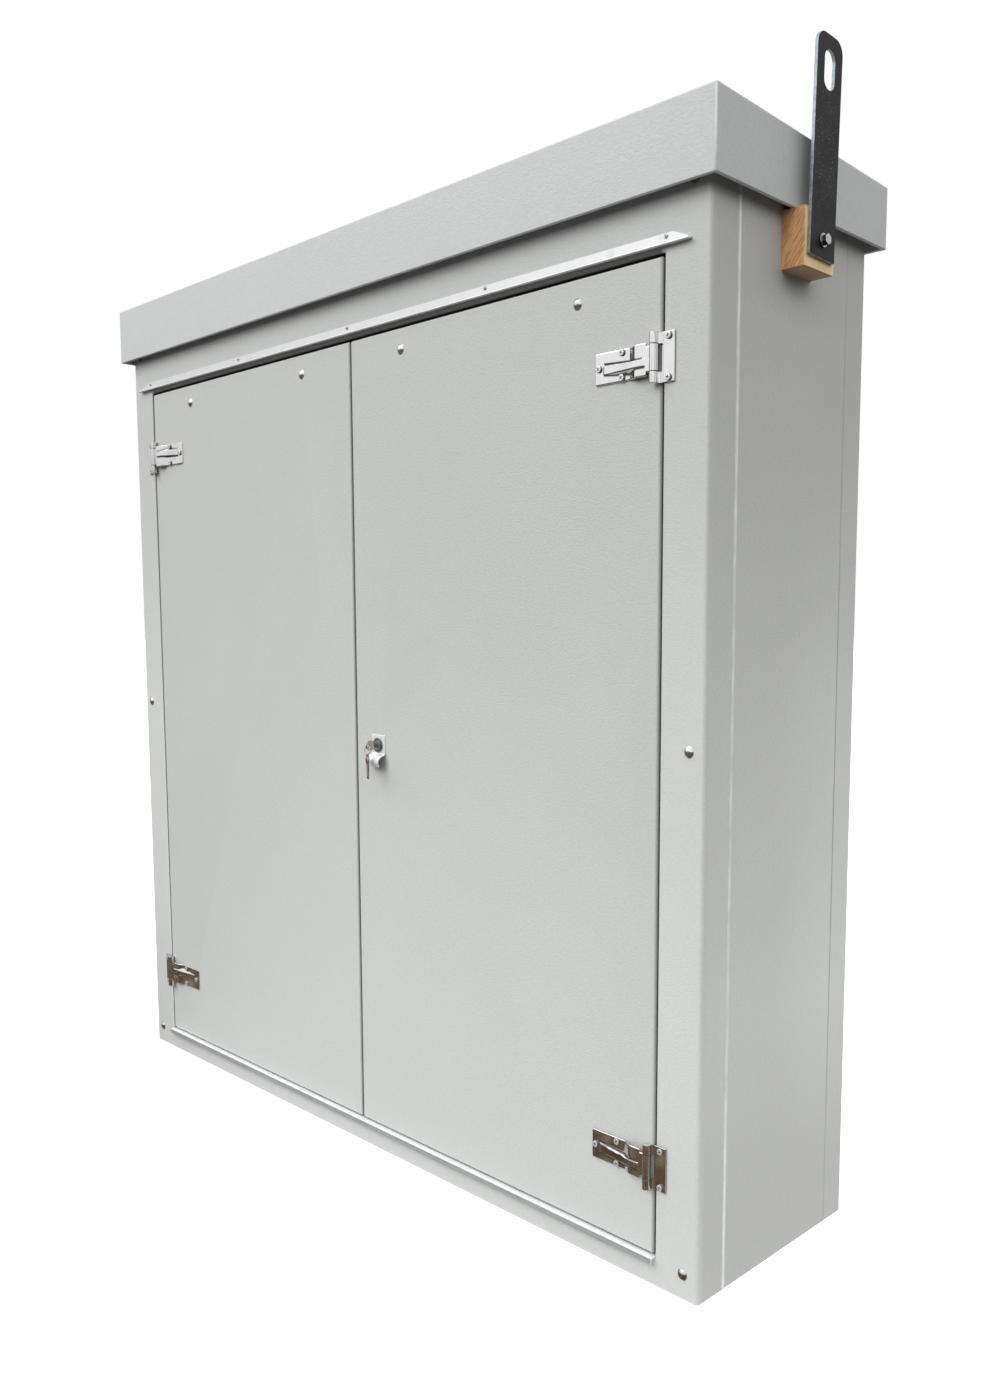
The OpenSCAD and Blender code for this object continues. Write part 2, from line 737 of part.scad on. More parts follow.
module board_battens() color(plywood) difference() {
    for (i = [0:batten_n - 1]) translate([batten_x(i), 0, 0])
        block(-batten_w / 2, batten_w / 2, board_back, back_y - wall, board_z, board_z + board_h);
    board_screw_places() rod_y(screw_hole_r, board_back - past, board_back + batten_t / 2 + hole_clear);
}

module board_screw_places()
    for (i = [0:batten_n - 1], z = [board_z + batten_w, board_z + board_h - batten_w])
        translate([batten_x(i), 0, z]) children();

module board_screws() color(stainless) board_screw_places() translate([0, board_front, 0])
    pan_screw(board_screw_d, screw_head_h, screw_d, board_t + batten_t / 2);

module door_gasket() color(dark_rubber) difference() {
    x1 = open_x - jamb_stop_w + gasket_inset;
    z0 = sill_h + head_stop_w - gasket_inset;
    z1 = open_top - head_stop_w + gasket_inset;
    block(-x1 - gasket_w, x1 + gasket_w, door_back + gasket_clear, stop_y,
        z0 - gasket_w, z1 + gasket_w);
    block(-x1, x1, front_y, stop_back, z0, z1);
}

// Drip rail: a riveted web with an outward lip, its top corners cut back at the ends
rail_z = open_top + rail_up;
rivet_z = rail_z + rail_h - rivet_drop;
function rivet_place(i) = rivet_x * (2 * i / (rivet_n - 1) - 1);

module drip_rail() color(bright_aluminium) difference() {
    lip_y = -rail_out + rail_bead_r;
    lip_z = rail_z - rail_drop;
    translate([0, front_y, 0]) union() {
        along_x(-rail_l / 2, rail_l / 2) polygon([[0, rail_z + rail_h], [0, rail_z],
            [lip_y, lip_z - rail_t / 2], [lip_y, lip_z + rail_t / 2],
            [-rail_t, rail_z + rail_t], [-rail_t, rail_z + rail_h]]);
        translate([0, lip_y, lip_z]) rod_x(rail_bead_r, -rail_l / 2, rail_l / 2);
    }
    both_sides() along_y(front_y - rail_out - past, front_y + past) polygon([
        [rail_l / 2 - rail_cut, rail_z + rail_h + past], [rail_l / 2 - rail_cut, rail_z + rail_h],
        [rail_l / 2, rail_z + rail_t], [rail_l / 2 + past, rail_z + rail_t],
        [rail_l / 2 + past, rail_z + rail_h + past]]);
    for (i = [0:rivet_n - 1]) translate([rivet_place(i), 0, rivet_z])
        rod_y(rivet_hole_r, front_y - rail_t - past, front_y + past);
}

module drip_rail_rivets() color(bright_aluminium) for (i = [0:rivet_n - 1])
    translate([rivet_place(i), front_y - rail_t, rivet_z])
        pan_screw(rivet_d, rivet_h, rivet_d / 2, rail_t + wall);

module sill_trim() color(bright_aluminium) {
    x1 = open_x - sill_end_gap;
    block(-x1, x1, front_y - sill_out, stop_y, sill_h, sill_top);
    block(-x1, x1, front_y - sill_out, front_y - sill_out + sill_t, sill_top - sill_lip, sill_top);
}

// Dome bolts of the stiles with their nuts: the lowest pair holds the base angle
module frame_bolts() color(stainless) both_sides() for (i = [0:2]) {
    backing = i == 0 ? base_t : angle_t;
    translate([frame_bolt_x, 0, frame_bolt_z(i)]) {
        translate([0, front_y, 0]) dome_bolt(wall + backing);
        translate([0, front_y + wall + backing, 0]) dome_nut();
    }
}

// Hinges, drawn about the pin axis of the right-hand door
module knuckle(z0, z1) difference() {
    along_z(z0, z1) circle(knuckle_r);
    along_z(z0 - past, z1 + past) circle(bore_r);
}

module frame_leaf() difference() {
    union() {
        along_y(pin_out - leaf_t, pin_out) rounded_box(plate_x0, plate_x0 + frame_leaf_w,
            -frame_leaf_h / 2, frame_leaf_h / 2, leaf_corner_r);
        for (s = [0, 1]) mirror([0, 0, s]) {
            z0 = mid_knuckle_h / 2 + knuckle_gap;
            z1 = frame_leaf_h / 2;
            knuckle(z0, z1);
            difference() {
                block(0, plate_x0 + arm_lap, pin_out - leaf_t - arm_clear, pin_out - arm_clear, z0, z1);
                along_z(z0 - past, z1 + past) circle(bore_r);
            }
        }
    }
    for (s = [-1, 1]) translate([frame_screw_x, 0, s * frame_screw_step / 2])
        rod_y(screw_hole_r, 0, pin_out + past);
}

// The door leaf lies on the door, climbs a short ramp and runs on to the middle knuckle
leaf_face = pin_out - leaf_t;
raised_face = -leaf_t / 2;

module door_leaf_outline() polygon([[-door_leaf_l, pin_out], [-ramp_from, pin_out],
    [-ramp_from + ramp_run, raised_face + leaf_t], [0, raised_face + leaf_t],
    [0, raised_face], [-ramp_from + ramp_run, raised_face],
    [-ramp_from, leaf_face], [-door_leaf_l, leaf_face]]);

// The rib climbs in one straight line from the flat part to the raised part
module rib_outline() polygon([[end_screw_x + rib_end_gap, pin_out - leaf_t / 2],
    [-ramp_from, pin_out - leaf_t / 2], [-ramp_from + ramp_run, raised_face + leaf_t / 2], [-rib_near, raised_face + leaf_t / 2],
    [-rib_near, raised_face - rib_h], [-ramp_from + ramp_run, raised_face - rib_h],
    [end_screw_x + rib_end_gap, leaf_face - rib_start]]);

module rib_section() translate([0, -rib_off]) polygon([[pin_out, -rib_w / 2], [-pin_out, -rib_top_w / 2],
    [-pin_out, rib_top_w / 2], [pin_out, rib_w / 2]]);

module door_leaf() difference() {
    union() {
        intersection() {
            along_z(-door_leaf_h / 2, door_leaf_h / 2) door_leaf_outline();
            along_y(-pin_out, 2 * pin_out) union() {
                rounded_box(-door_leaf_l, -leaf_near, -door_leaf_h / 2, door_leaf_h / 2, leaf_corner_r);
                translate([-leaf_near - leaf_corner_r, -mid_knuckle_h / 2])
                    square([leaf_near + leaf_corner_r, mid_knuckle_h]);
            }
        }
        intersection() {
            along_z(-door_leaf_h / 2, door_leaf_h / 2) rib_outline();
            along_x(-door_leaf_l, 0) rib_section();
        }
        knuckle(-mid_knuckle_h / 2, mid_knuckle_h / 2);
    }
    along_z(-door_leaf_h, door_leaf_h) circle(bore_r);
    translate([end_screw_x, 0, 0]) rod_y(screw_hole_r, 0, pin_out + past);
    for (s = [-1, 1]) translate([pair_screw_x, 0, s * pair_screw_step / 2])
        rod_y(screw_hole_r, 0, pin_out + past);
}

// The left-hand hinges are the same pieces turned over
module at_hinge(z) translate([pin_x, pin_y, z]) children();
module at_left_hinge(z) translate([-pin_x, pin_y, z]) rotate([0, 180, 0]) children();

module left_upper_frame_leaf() color(stainless) at_left_hinge(upper_hinge_z) frame_leaf();
module left_lower_frame_leaf() color(stainless) at_left_hinge(lower_hinge_z) frame_leaf();
module right_upper_frame_leaf() color(stainless) at_hinge(upper_hinge_z) frame_leaf();
module right_lower_frame_leaf() color(stainless) at_hinge(lower_hinge_z) frame_leaf();
module left_upper_door_leaf() color(stainless) at_left_hinge(upper_hinge_z) door_leaf();
module left_lower_door_leaf() color(stainless) at_left_hinge(lower_hinge_z) door_leaf();
module right_upper_door_leaf() color(stainless) at_hinge(upper_hinge_z) door_leaf();
module right_lower_door_leaf() color(stainless) at_hinge(lower_hinge_z) door_leaf();

// Pins with a riveted dome at each end
module hinge_pins() color(stainless) both_sides() for (z = [upper_hinge_z, lower_hinge_z]) at_hinge(z) {
    pin_cap_r = (knuckle_r * knuckle_r + pin_end * pin_end) / (2 * pin_end);
    along_z(-frame_leaf_h / 2, frame_leaf_h / 2) circle(pin_r);
    for (s = [0, 1]) mirror([0, 0, s]) translate([0, 0, frame_leaf_h / 2]) rotate_extrude() intersection() {
        translate([0, pin_end - pin_cap_r]) circle(pin_cap_r);
        square([knuckle_r, pin_end]);
    }
}

module hinge_screw() pan_screw(screw_head_d, screw_head_h, screw_d, screw_l);

module frame_leaf_screws() color(stainless) both_sides()
    for (z = [upper_hinge_z, lower_hinge_z], s = [-1, 1])
        translate([pin_x + frame_screw_x, front_y - leaf_t, z + s * frame_screw_step / 2]) hinge_screw();

module door_leaf_screw_places() for (z = [upper_hinge_z, lower_hinge_z]) {
    translate([pin_x + end_screw_x, front_y, z]) children();
    for (s = [-1, 1]) translate([pin_x + pair_screw_x, front_y, z + s * pair_screw_step / 2]) children();
}

module right_leaf_screws() color(stainless) door_leaf_screw_places()
    translate([0, -leaf_t, 0]) hinge_screw();
module left_leaf_screws() color(stainless) mirror([1, 0, 0]) door_leaf_screw_places()
    translate([0, -leaf_t, 0]) hinge_screw();

// Doors: a moulded tray over a plywood core. x0 is the edge at the meeting gap, drawn on the right.
module door_holes() {
    door_leaf_screw_places() rod_y(screw_hole_r, -past, screw_l - leaf_t + hole_clear);
    for (x = door_bolts_x) translate([x, 0, door_bolt_z])
        rod_y(dome_hole_r, front_y - past, door_back + past);
}

module door_skin_shape(x0) difference() {
    along_y(front_y, door_back) rounded_box(x0, door_x, door_low, door_top, door_corner_r);
    block(x0 + door_skin, door_x - door_skin, front_y + door_skin, door_back + past,
        door_low + door_skin, door_top - door_skin);
    door_holes();
}

module door_core_shape(x0) difference() {
    block(x0 + door_skin, door_x - door_skin, front_y + door_skin, door_back,
        door_low + door_skin, door_top - door_skin);
    door_holes();
}

module lock_hole() translate([lock_x, 0, lock_z])
    rod_y(lock_barrel_d / 2 + hole_clear, front_y - past, door_back + past);

module left_door_skin() color(grp_grey) mirror([1, 0, 0]) door_skin_shape(-left_edge);
module left_door_core() color(plywood) mirror([1, 0, 0]) door_core_shape(-left_edge);
module right_door_skin() color(grp_grey) difference() {
    door_skin_shape(right_edge);
    lock_hole();
}
module right_door_core() color(plywood) difference() {
    door_core_shape(right_edge);
    lock_hole();
}

module door_stiffener() difference() {
    x0 = door_bolts_x[0] - stiffener_end;
    x1 = door_bolts_x[1] + stiffener_end;
    z0 = door_bolt_z - stiffener_h / 2;
    union() {
        block(x0, x1, door_back, door_back + stiffener_t, z0, z0 + stiffener_h);
        block(x0, x1, door_back, door_back + stiffener_d, z0, z0 + stiffener_t);
    }
    for (x = door_bolts_x) translate([x, 0, door_bolt_z])
        rod_y(dome_hole_r, door_back - past, door_back + stiffener_t + past);
}

module door_bolts() for (x = door_bolts_x) translate([x, 0, door_bolt_z]) {
    translate([0, front_y, 0]) dome_bolt(door_t + stiffener_t);
    translate([0, door_back + stiffener_t, 0]) dome_nut();
}

module left_door_stiffener() color(bright_aluminium) mirror([1, 0, 0]) door_stiffener();
module right_door_stiffener() color(bright_aluminium) door_stiffener();
module left_door_bolts() color(stainless) mirror([1, 0, 0]) door_bolts();
module right_door_bolts() color(stainless) door_bolts();

module meeting_seal() color(dark_rubber) block(left_edge, left_edge + meet_seal_t, front_y + meet_seal_in,
    door_back, door_low + door_corner_r, door_top - door_corner_r);

// Lock, pull and keys
module pull_plate() color(stainless) difference() {
    z1 = lock_z + pull_h / 2;
    z0 = lock_z - pull_h / 2;
    slope_t = pull_t * sqrt(1 + pow(pull_slope / (pull_out - pull_t), 2));
    translate([0, front_y, 0]) along_x(lock_x - pull_w / 2, lock_x + pull_w / 2) polygon([
        [0, z1], [0, z0], [-pull_out + pull_t, z0 - pull_slope],
        [-pull_out + pull_t, z0 - pull_slope - pull_edge],
        [-pull_out, z0 - pull_slope - pull_edge], [-pull_out, z0 - pull_slope + slope_t / 2],
        [-pull_t, z0 + slope_t], [-pull_t, z1]]);
    translate([lock_x, 0, lock_z])
        rod_y(lock_barrel_d / 2 + hole_clear, front_y - pull_t - past, front_y + past);
}

module lock_barrel() color(stainless) translate([lock_x, 0, lock_z]) difference() {
    union() {
        rotate([90, 0, 0]) translate([0, 0, -head_y - lock_head_t]) rotate_extrude() polygon([
            [0, 0], [lock_head_d / 2, 0], [lock_head_d / 2, lock_head_t / 2],
            [lock_head_d / 2 - lock_head_t / 2, lock_head_t], [0, lock_head_t]]);
        rod_y(lock_barrel_d / 2, head_y + lock_head_t / 2, keeper_y);
    }
    rod_y(plug_d / 2 + run_clear, head_y - past, keeper_y + past);
}

module lock_nut() color(stainless) translate([lock_x, door_back, lock_z]) difference() {
    rotate([-90, 0, 0]) cylinder(r = lock_nut_af / 2 / cos(30), h = lock_nut_t, $fn = 6);
    rod_y(lock_barrel_d / 2 + hole_clear, -past, lock_nut_t + past);
}

module lock_plug() color(stainless) translate([lock_x, 0, lock_z]) difference() {
    union() {
        rod_y(plug_d / 2, head_y, cam_y);
        rod_y(tail_d / 2, head_y, cam_back);
    }
    block(-key_t / 2 - key_play, key_t / 2 + key_play,
        head_y - past, head_y + blade_l - key_stand + key_tip_gap,
        -blade_w / 2 - key_play, blade_w / 2 + key_play);
    rod_y(screw_hole_r, cam_y - cam_screw_in - hole_clear, cam_back + past);
}

module lock_cam() color(galvanised) translate([lock_x, 0, lock_z]) difference() {
    along_y(cam_y, cam_back) union() {
        circle(cam_w / 2);
        translate([-cam_w / 2, -cam_l + cam_w / 2]) square([cam_w, cam_l - cam_w / 2]);
        translate([0, -cam_l + cam_w / 2]) circle(cam_w / 2);
    }
    rod_y(tail_d / 2 + hole_clear, cam_y - past, cam_back + past);
}

module cam_screw() color(stainless) translate([lock_x, cam_back, lock_z]) mirror([0, 1, 0])
    pan_screw(tail_d + screw_d, screw_head_h, screw_d, cam_t + cam_screw_in);

module cam_keeper() color(galvanised) block(left_edge - keeper_w, left_edge - door_skin,
    door_back, keeper_y, lock_z - keeper_h / 2, lock_z + keeper_h / 2);

// A flat key in the YZ plane: the bow's middle is at the origin and the blade points along +Y
module flat_key() difference() {
    tip = bow_d / 2 + blade_l;
    along_x(-key_t / 2, key_t / 2) union() {
        circle(bow_d / 2);
        polygon([[0, -blade_w / 2], [tip - blade_w / 2, -blade_w / 2], [tip, 0],
            [tip - blade_w / 2, blade_w / 2], [0, blade_w / 2]]);
    }
    translate([0, -bow_hole_out, 0]) rod_x(bow_hole_r, -key_t, key_t);
}

module key() color(stainless) translate([lock_x, bow_y, lock_z]) flat_key();

// The ring hangs in the bow's hole, and the spare key on the ring
module hung_on_key() translate([lock_x, ring_y, lock_z]) rotate([-hang_tilt, 0, 0]) children();

module key_ring() color(stainless) hung_on_key() translate([0, 0, -wire_drop - ring_r])
    rotate([90, 0, 0]) rotate_extrude() translate([ring_r, 0]) circle(wire_r);

module spare_key() color(stainless) hung_on_key()
    translate([0, 0, -2 * wire_drop - 2 * ring_r - bow_hole_out]) rotate([-90, 0, 0]) flat_key();

// Shoot bolts, drawn back, with guides on the left door and wear plates behind the door stop
module shoot_bolt() {
    translate([-shoot_x, shoot_y, 0]) along_z(-shoot_l, 0) circle(shoot_r);
    translate([-shoot_x, shoot_y, -guide_tip - guide_step / 2]) rod_x(knob_r, -shoot_r - knob_l, 0);
}

module bolt_guide_pair() for (i = [0, 1]) difference() {
    z1 = -guide_tip - i * guide_step + guide_h / 2;
    block(-shoot_x - guide_w / 2, -shoot_x + guide_w / 2,
        door_back, shoot_y + shoot_r + guide_wall, z1 - guide_h, z1);
    translate([-shoot_x, shoot_y, 0]) along_z(z1 - guide_h - past, z1 + past)
        circle(shoot_r + run_clear);
}

module at_top_bolt() translate([0, 0, shoot_top]) children();
module at_bottom_bolt() translate([0, 0, shoot_low]) mirror([0, 0, 1]) children();

module top_shoot_bolt() color(stainless) at_top_bolt() shoot_bolt();
module bottom_shoot_bolt() color(stainless) at_bottom_bolt() shoot_bolt();
module bolt_guides() color(galvanised) {
    at_top_bolt() bolt_guide_pair();
    at_bottom_bolt() bolt_guide_pair();
}
module bolt_wear_plates() color(stainless) for (z = [open_top - head_stop_w, sill_h])
    block(-shoot_x - wear_w / 2, -shoot_x + wear_w / 2,
        stop_back, stop_back + wear_t, z, z + head_stop_w);

// Lifting bar on its oak block, held by one bolt through the side wall
module lug_block() color(oak) difference() {
    block(half_w, block_x, lug_y - block_w / 2, lug_y + block_w / 2, skirt_z - block_h, skirt_z);
    translate([0, lug_y, lug_bolt_z]) rod_x(lug_hole_r, half_w - past, block_x + past);
}

module lifting_bar() color(black_steel)
translate([0, lug_y, lug_bolt_z]) rotate([-bar_lean, 0, 0]) difference() {
    top = bar_h - lug_bolt_up;
    eye_z = top - eye_drop - eye_h / 2;
    along_x(block_x, block_x + bar_t) union() {
        rounded_box(-bar_w / 2, bar_w / 2, -bar_corner_r, top, bar_corner_r);
        translate([-bar_w / 2, -lug_bolt_up]) square([bar_w, lug_bolt_up]);
    }
    along_x(block_x - past, block_x + bar_t + past) translate([0, eye_z]) union() {
        square([eye_w, eye_h - eye_w], center = true);
        for (s = [-1, 1]) translate([0, s * (eye_h - eye_w) / 2]) circle(eye_w / 2);
    }
    rod_x(lug_hole_r, block_x - past, block_x + bar_t + past);
}

module lug_bolt() color(stainless) translate([0, lug_y, lug_bolt_z]) {
    outer = block_x + bar_t;
    inner = half_w - wall - plate_t;
    translate([outer + washer_t, 0, 0]) rotate([0, 90, 0])
        cylinder(r = lug_bolt_af / 2 / cos(30), h = lug_bolt_head, $fn = 6);
    rod_x(lug_bolt_d / 2, inner - lug_bolt_head - thread_show, outer + washer_t + lug_bolt_head / 2);
    difference() {
        translate([inner - lug_bolt_head, 0, 0]) rotate([0, 90, 0])
            cylinder(r = lug_bolt_af / 2 / cos(30), h = lug_bolt_head, $fn = 6);
        rod_x(lug_hole_r, inner - lug_bolt_head - past, inner + past);
    }
}

module lug_washer() color(stainless) translate([block_x + bar_t, lug_y, lug_bolt_z]) difference() {
    rod_x(washer_d / 2, 0, washer_t);
    rod_x(lug_hole_r, -past, washer_t + past);
}

module lug_inner_plate() color(galvanised) difference() {
    block(half_w - wall - plate_t, half_w - wall, lug_y - plate_w / 2, lug_y + plate_w / 2,
        lug_bolt_z - plate_w / 2, lug_bolt_z + plate_w / 2);
    translate([0, lug_y, lug_bolt_z]) rod_x(lug_hole_r, half_w - wall - plate_t - past, half_w);
}

front_frame();
left_side_panel();
right_side_panel();
back_panel();
roof();
top_frame();
base_frame();
stile_angles();
seam_straps();
seam_sealant();
equipment_board();
board_battens();
board_screws();
door_gasket();
drip_rail();
drip_rail_rivets();
sill_trim();
frame_bolts();
left_upper_frame_leaf();
left_lower_frame_leaf();
right_upper_frame_leaf();
right_lower_frame_leaf();
hinge_pins();
frame_leaf_screws();
bolt_wear_plates();
lug_block();
lifting_bar();
lug_bolt();
lug_washer();
lug_inner_plate();
left_door_skin();
left_door_core();
left_door_stiffener();
left_door_bolts();
left_upper_door_leaf();
left_lower_door_leaf();
left_leaf_screws();
meeting_seal();
bolt_guides();
cam_keeper();
right_door_skin();
right_door_core();
right_door_stiffener();
right_door_bolts();
right_upper_door_leaf();
right_lower_door_leaf();
right_leaf_screws();
pull_plate();
lock_barrel();
lock_nut();
lock_plug();
lock_cam();
cam_screw();
key();
key_ring();
spare_key();
top_shoot_bolt();
bottom_shoot_bolt();
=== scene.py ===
# Double-door glass-fibre cabinet: the looks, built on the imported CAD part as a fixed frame.
# Metres, +X right, +Y to the back, +Z up, with the origin on the floor under the middle of the body.
import math

import bmesh
import bpy
from mathutils import Matrix, Vector


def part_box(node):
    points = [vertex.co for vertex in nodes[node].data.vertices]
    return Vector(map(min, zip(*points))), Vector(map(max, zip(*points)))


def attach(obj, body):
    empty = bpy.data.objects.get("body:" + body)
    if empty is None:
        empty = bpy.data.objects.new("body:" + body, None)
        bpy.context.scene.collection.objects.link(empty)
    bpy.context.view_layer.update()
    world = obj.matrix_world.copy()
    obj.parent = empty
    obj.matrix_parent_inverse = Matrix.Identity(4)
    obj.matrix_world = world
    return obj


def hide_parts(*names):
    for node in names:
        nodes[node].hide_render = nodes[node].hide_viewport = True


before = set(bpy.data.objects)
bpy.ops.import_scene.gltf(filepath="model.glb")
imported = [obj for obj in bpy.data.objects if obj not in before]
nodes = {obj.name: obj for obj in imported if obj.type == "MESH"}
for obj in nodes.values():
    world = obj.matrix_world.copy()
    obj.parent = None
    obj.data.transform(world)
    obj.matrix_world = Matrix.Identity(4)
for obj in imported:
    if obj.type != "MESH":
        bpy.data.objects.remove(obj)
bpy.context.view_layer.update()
MM = 0.001


# Body walls: the front moulding, the two side panels and the back moulding are laid up in glass
# fibre about 5 mm thick. The mould leaves a fine leather grain on the grey gelcoat, and the
# trimmed edges are rubbed to a small radius.
class Tone:
    """One value in a finish; arithmetic on it adds Math nodes."""

    def __init__(self, finish, socket):
        self.finish = finish
        self.socket = socket

    def math(self, operation, *terms):
        return self.finish.node("ShaderNodeMath", {"operation": operation}, dict(enumerate(terms)))

    def __add__(self, other):
        return self.math("ADD", self, other)

    def __radd__(self, other):
        return self.math("ADD", other, self)

    def __sub__(self, other):
        return self.math("SUBTRACT", self, other)

    def __rsub__(self, other):
        return self.math("SUBTRACT", other, self)

    def __mul__(self, other):
        return self.math("MULTIPLY", self, other)

    def __rmul__(self, other):
        return self.math("MULTIPLY", other, self)

    def __abs__(self):
        return self.math("ABSOLUTE", self)

    def most(self, other):
        return self.math("MAXIMUM", self, other)

    def rise(self, low, high):
        """0 up to low, 1 from high on, and a smooth step between them."""
        return self.finish.node(
            "ShaderNodeMapRange",
            {"interpolation_type": "SMOOTHSTEP"},
            {"Value": self, "From Min": low, "From Max": high},
        )

    def band(self, low, full, fade, gone):
        """0 up to low, 1 from full to fade, and 0 again from gone on."""
        return self.rise(low, full) * (1 - self.rise(fade, gone))


class Finish:
    """A material in the making, on Object coordinates."""

    def __init__(self, name):
        self.material = bpy.data.materials.new(name)
        self.material.use_nodes = True
        self.tree = self.material.node_tree
        self.place = self.node("ShaderNodeTexCoord", {}, {}, "Object")

    def node(self, kind, settings, inputs, out=0):
        made = self.tree.nodes.new(kind)
        for key, value in settings.items():
            setattr(made, key, value)
        self.feed(made, inputs)
        return Tone(self, made.outputs[out])

    def feed(self, made, inputs):
        """Links the tones among a node's inputs and sets the plain values."""
        for key, value in inputs.items():
            if isinstance(value, Tone):
                self.tree.links.new(value.socket, made.inputs[key])
            else:
                made.inputs[key].default_value = value

    def axis(self, out):
        return self.node("ShaderNodeSeparateXYZ", {}, {"Vector": self.place}, out)

    def kept(self, name):
        """What the mesh keeps under a name for its finish to read."""
        return self.node("ShaderNodeAttribute", {"attribute_name": name}, {}, "Fac")

    def distance(self, spot, place=None):
        inputs = {0: place or self.place, 1: spot}
        return self.node("ShaderNodeVectorMath", {"operation": "DISTANCE"}, inputs, "Value")

    def stretched(self, scale, turn=None):
        """The place, turned about the origin first and then scaled along the turned axes."""
        place = self.place
        if turn:
            place = self.node("ShaderNodeMapping", {}, {"Vector": place, "Rotation": turn})
        return self.node("ShaderNodeMapping", {}, {"Vector": place, "Scale": scale})

    def noise(self, scale, detail, rough, vector=None):
        return self.node(
            "ShaderNodeTexNoise",
            {},
            {"Vector": vector or self.place, "Scale": scale, "Detail": detail, "Roughness": rough},
        )

    def between(self, share, first, second, blend="MIX"):
        settings = {"data_type": "RGBA", "blend_type": blend}
        return self.node("ShaderNodeMix", settings, {0: share, 6: first, 7: second}, 2)

    def shaded(self, share, colour, level):
        """The colour, darkened to a level of itself by its share."""
        return self.between(share, colour, grey(level), "MULTIPLY")

    def bump(self, height, distance, strength):
        inputs = {"Height": height, "Distance": distance, "Strength": strength}
        return self.node("ShaderNodeBump", {}, inputs)

    def surface(self, inputs):
        self.feed(self.tree.nodes["Principled BSDF"], inputs)
        return self.material


def grey(level, warm=0.0):
    return (level * (1 + warm), level, level * (1 - warm), 1.0)


def stone(level, blue=0.0):
    """The gelcoat's grey, a little green, or bluer by a share."""
    return (level * (0.978 - 0.3 * blue), level, level * (0.970 + blue), 1.0)


def steps_from(edge, *steps):
    """Places at steps in millimetres from an edge."""
    return [edge + step * MM for step in steps]


def painted_gap_shade(coat):
    """Painted shade: darkens the door gaps, the doors' upright edges, the strip under the drip rail
    and the door behind the pull.
    """
    across, depth, height = (coat.axis(name) for name in "XYZ")
    wide = abs(across)
    above_foot = height.rise(*steps_from(OPEN_LOW, 4.2, 8.2))
    above_foot = above_foot.most(depth.rise(*steps_from(FRONT, 1.4, 2.6)))
    deep = depth.band(*steps_from(FRONT, 0.4, 2.8, 7, 11)) * above_foot
    deep = deep * (1 - wide.rise(*steps_from(OPEN_X, 1.4, 2.4))) * 0.88
    hinge_edge = wide.band(*steps_from(OPEN_X, -7.6, -1.9, -1.3, -0.7)) * 0.55
    meeting_edge = (1 - abs(across - MEETING_X).rise(1.5 * MM, 4.4 * MM)) * 0.38
    door_height = height.band(*steps_from(OPEN_LOW, 2, 4), *steps_from(OPEN_TOP, -4.5, -2.5))
    door_edge = hinge_edge.most(meeting_edge) * door_height
    # painted shadow of the drip rail on the strip above the doors
    shade = height.band(*steps_from(OPEN_TOP, -1.7, -0.3, 1.3, 6.5))
    shade = shade * (1 - wide.rise(*steps_from(OPEN_X, -7.1, 1.4))) * 0.9
    # painted shadow of the pull's lip on the door below it
    pull_shadow = (1 - coat.distance(BEHIND_PULL).rise(2 * MM, 21 * MM)) * 0.62
    return deep.most(door_edge).most(shade).most(pull_shadow)


def painted_light_by_height(coat, levels, blue):
    """Painted light and shade by height: darker at the foot, lighter at half height and darker under
    the eaves, as the light falls.
    """
    foot, middle, eaves = (stone(GRP_LEVEL * level, blue) for level in levels)
    foot_to_middle = coat.between(coat.axis("Z").rise(0.0, 0.34), foot, middle)
    return coat.between(coat.axis("Z").rise(0.52, 1.1), foot_to_middle, eaves)


def gelcoat(name, front, side, rear, gap_shade=False, grain=0.36, blue=0.0):
    """Grey gelcoat with a leather grain and painted light and shade by height; painted shade darkens
    the gaps, and dirt gathers on top.

    The front, the side and its rear half each have a painted level for the foot, the middle and the
    eaves, for how the light falls on them.
    """
    coat = Finish(name)
    ripple = coat.noise(230, 3.0, 0.6, coat.stretched((1.0, 1.0, 2.2)))
    pore = coat.noise(620, 2.0, 0.5)
    cloud = coat.noise(3.2, 3.0, 0.6)
    depth = coat.axis("Y")
    front, side, rear = (painted_light_by_height(coat, levels, blue) for levels in (front, side, rear))
    # the rear half of the side is painted lighter than its front half, as painted light
    flank = coat.between(depth.rise(-0.03, 0.11), side, rear)
    colour = coat.between(depth.rise(*steps_from(FRONT, 3, 12)), front, flank)
    colour = coat.shaded(cloud.rise(0.3, 0.7), colour, 0.97)
    # painted shade in the valleys of the leather grain
    colour = coat.shaded(1 - ripple.rise(0.38, 0.62), colour, 0.95)
    if gap_shade:
        # painted shade, near black, in the gaps, under the drip rail and behind the pull
        colour = coat.between(painted_gap_shade(coat), colour, (0.035, 0.033, 0.028, 1))
    dust = coat.noise(26, 5.0, 0.7).rise(0.3, 0.75) * 0.22 + 0.42
    colour = coat.between(coat.kept("rained_on") * dust, colour, stone(GRP_LEVEL * 0.25))
    return coat.surface(
        {
            "Base Color": colour,
            "Roughness": ripple * 0.16 + cloud * 0.1 + 0.36,
            "Specular IOR Level": 0.45,
            "Normal": coat.bump(ripple + pore * 0.3, 1.0 * MM, grain),
        }
    )


def merged_copy(*names):
    """The named CAD nodes as one mesh, with its vertices joined."""
    work = bmesh.new()
    for name in names:
        work.from_mesh(nodes[name].data)
    bmesh.ops.remove_doubles(work, verts=work.verts, dist=WELD)
    bmesh.ops.dissolve_degenerate(work, dist=WELD, edges=work.edges)
    return work


def as_mesh(name, work):
    mesh = bpy.data.meshes.new(name)
    work.to_mesh(mesh)
    work.free()
    return mesh


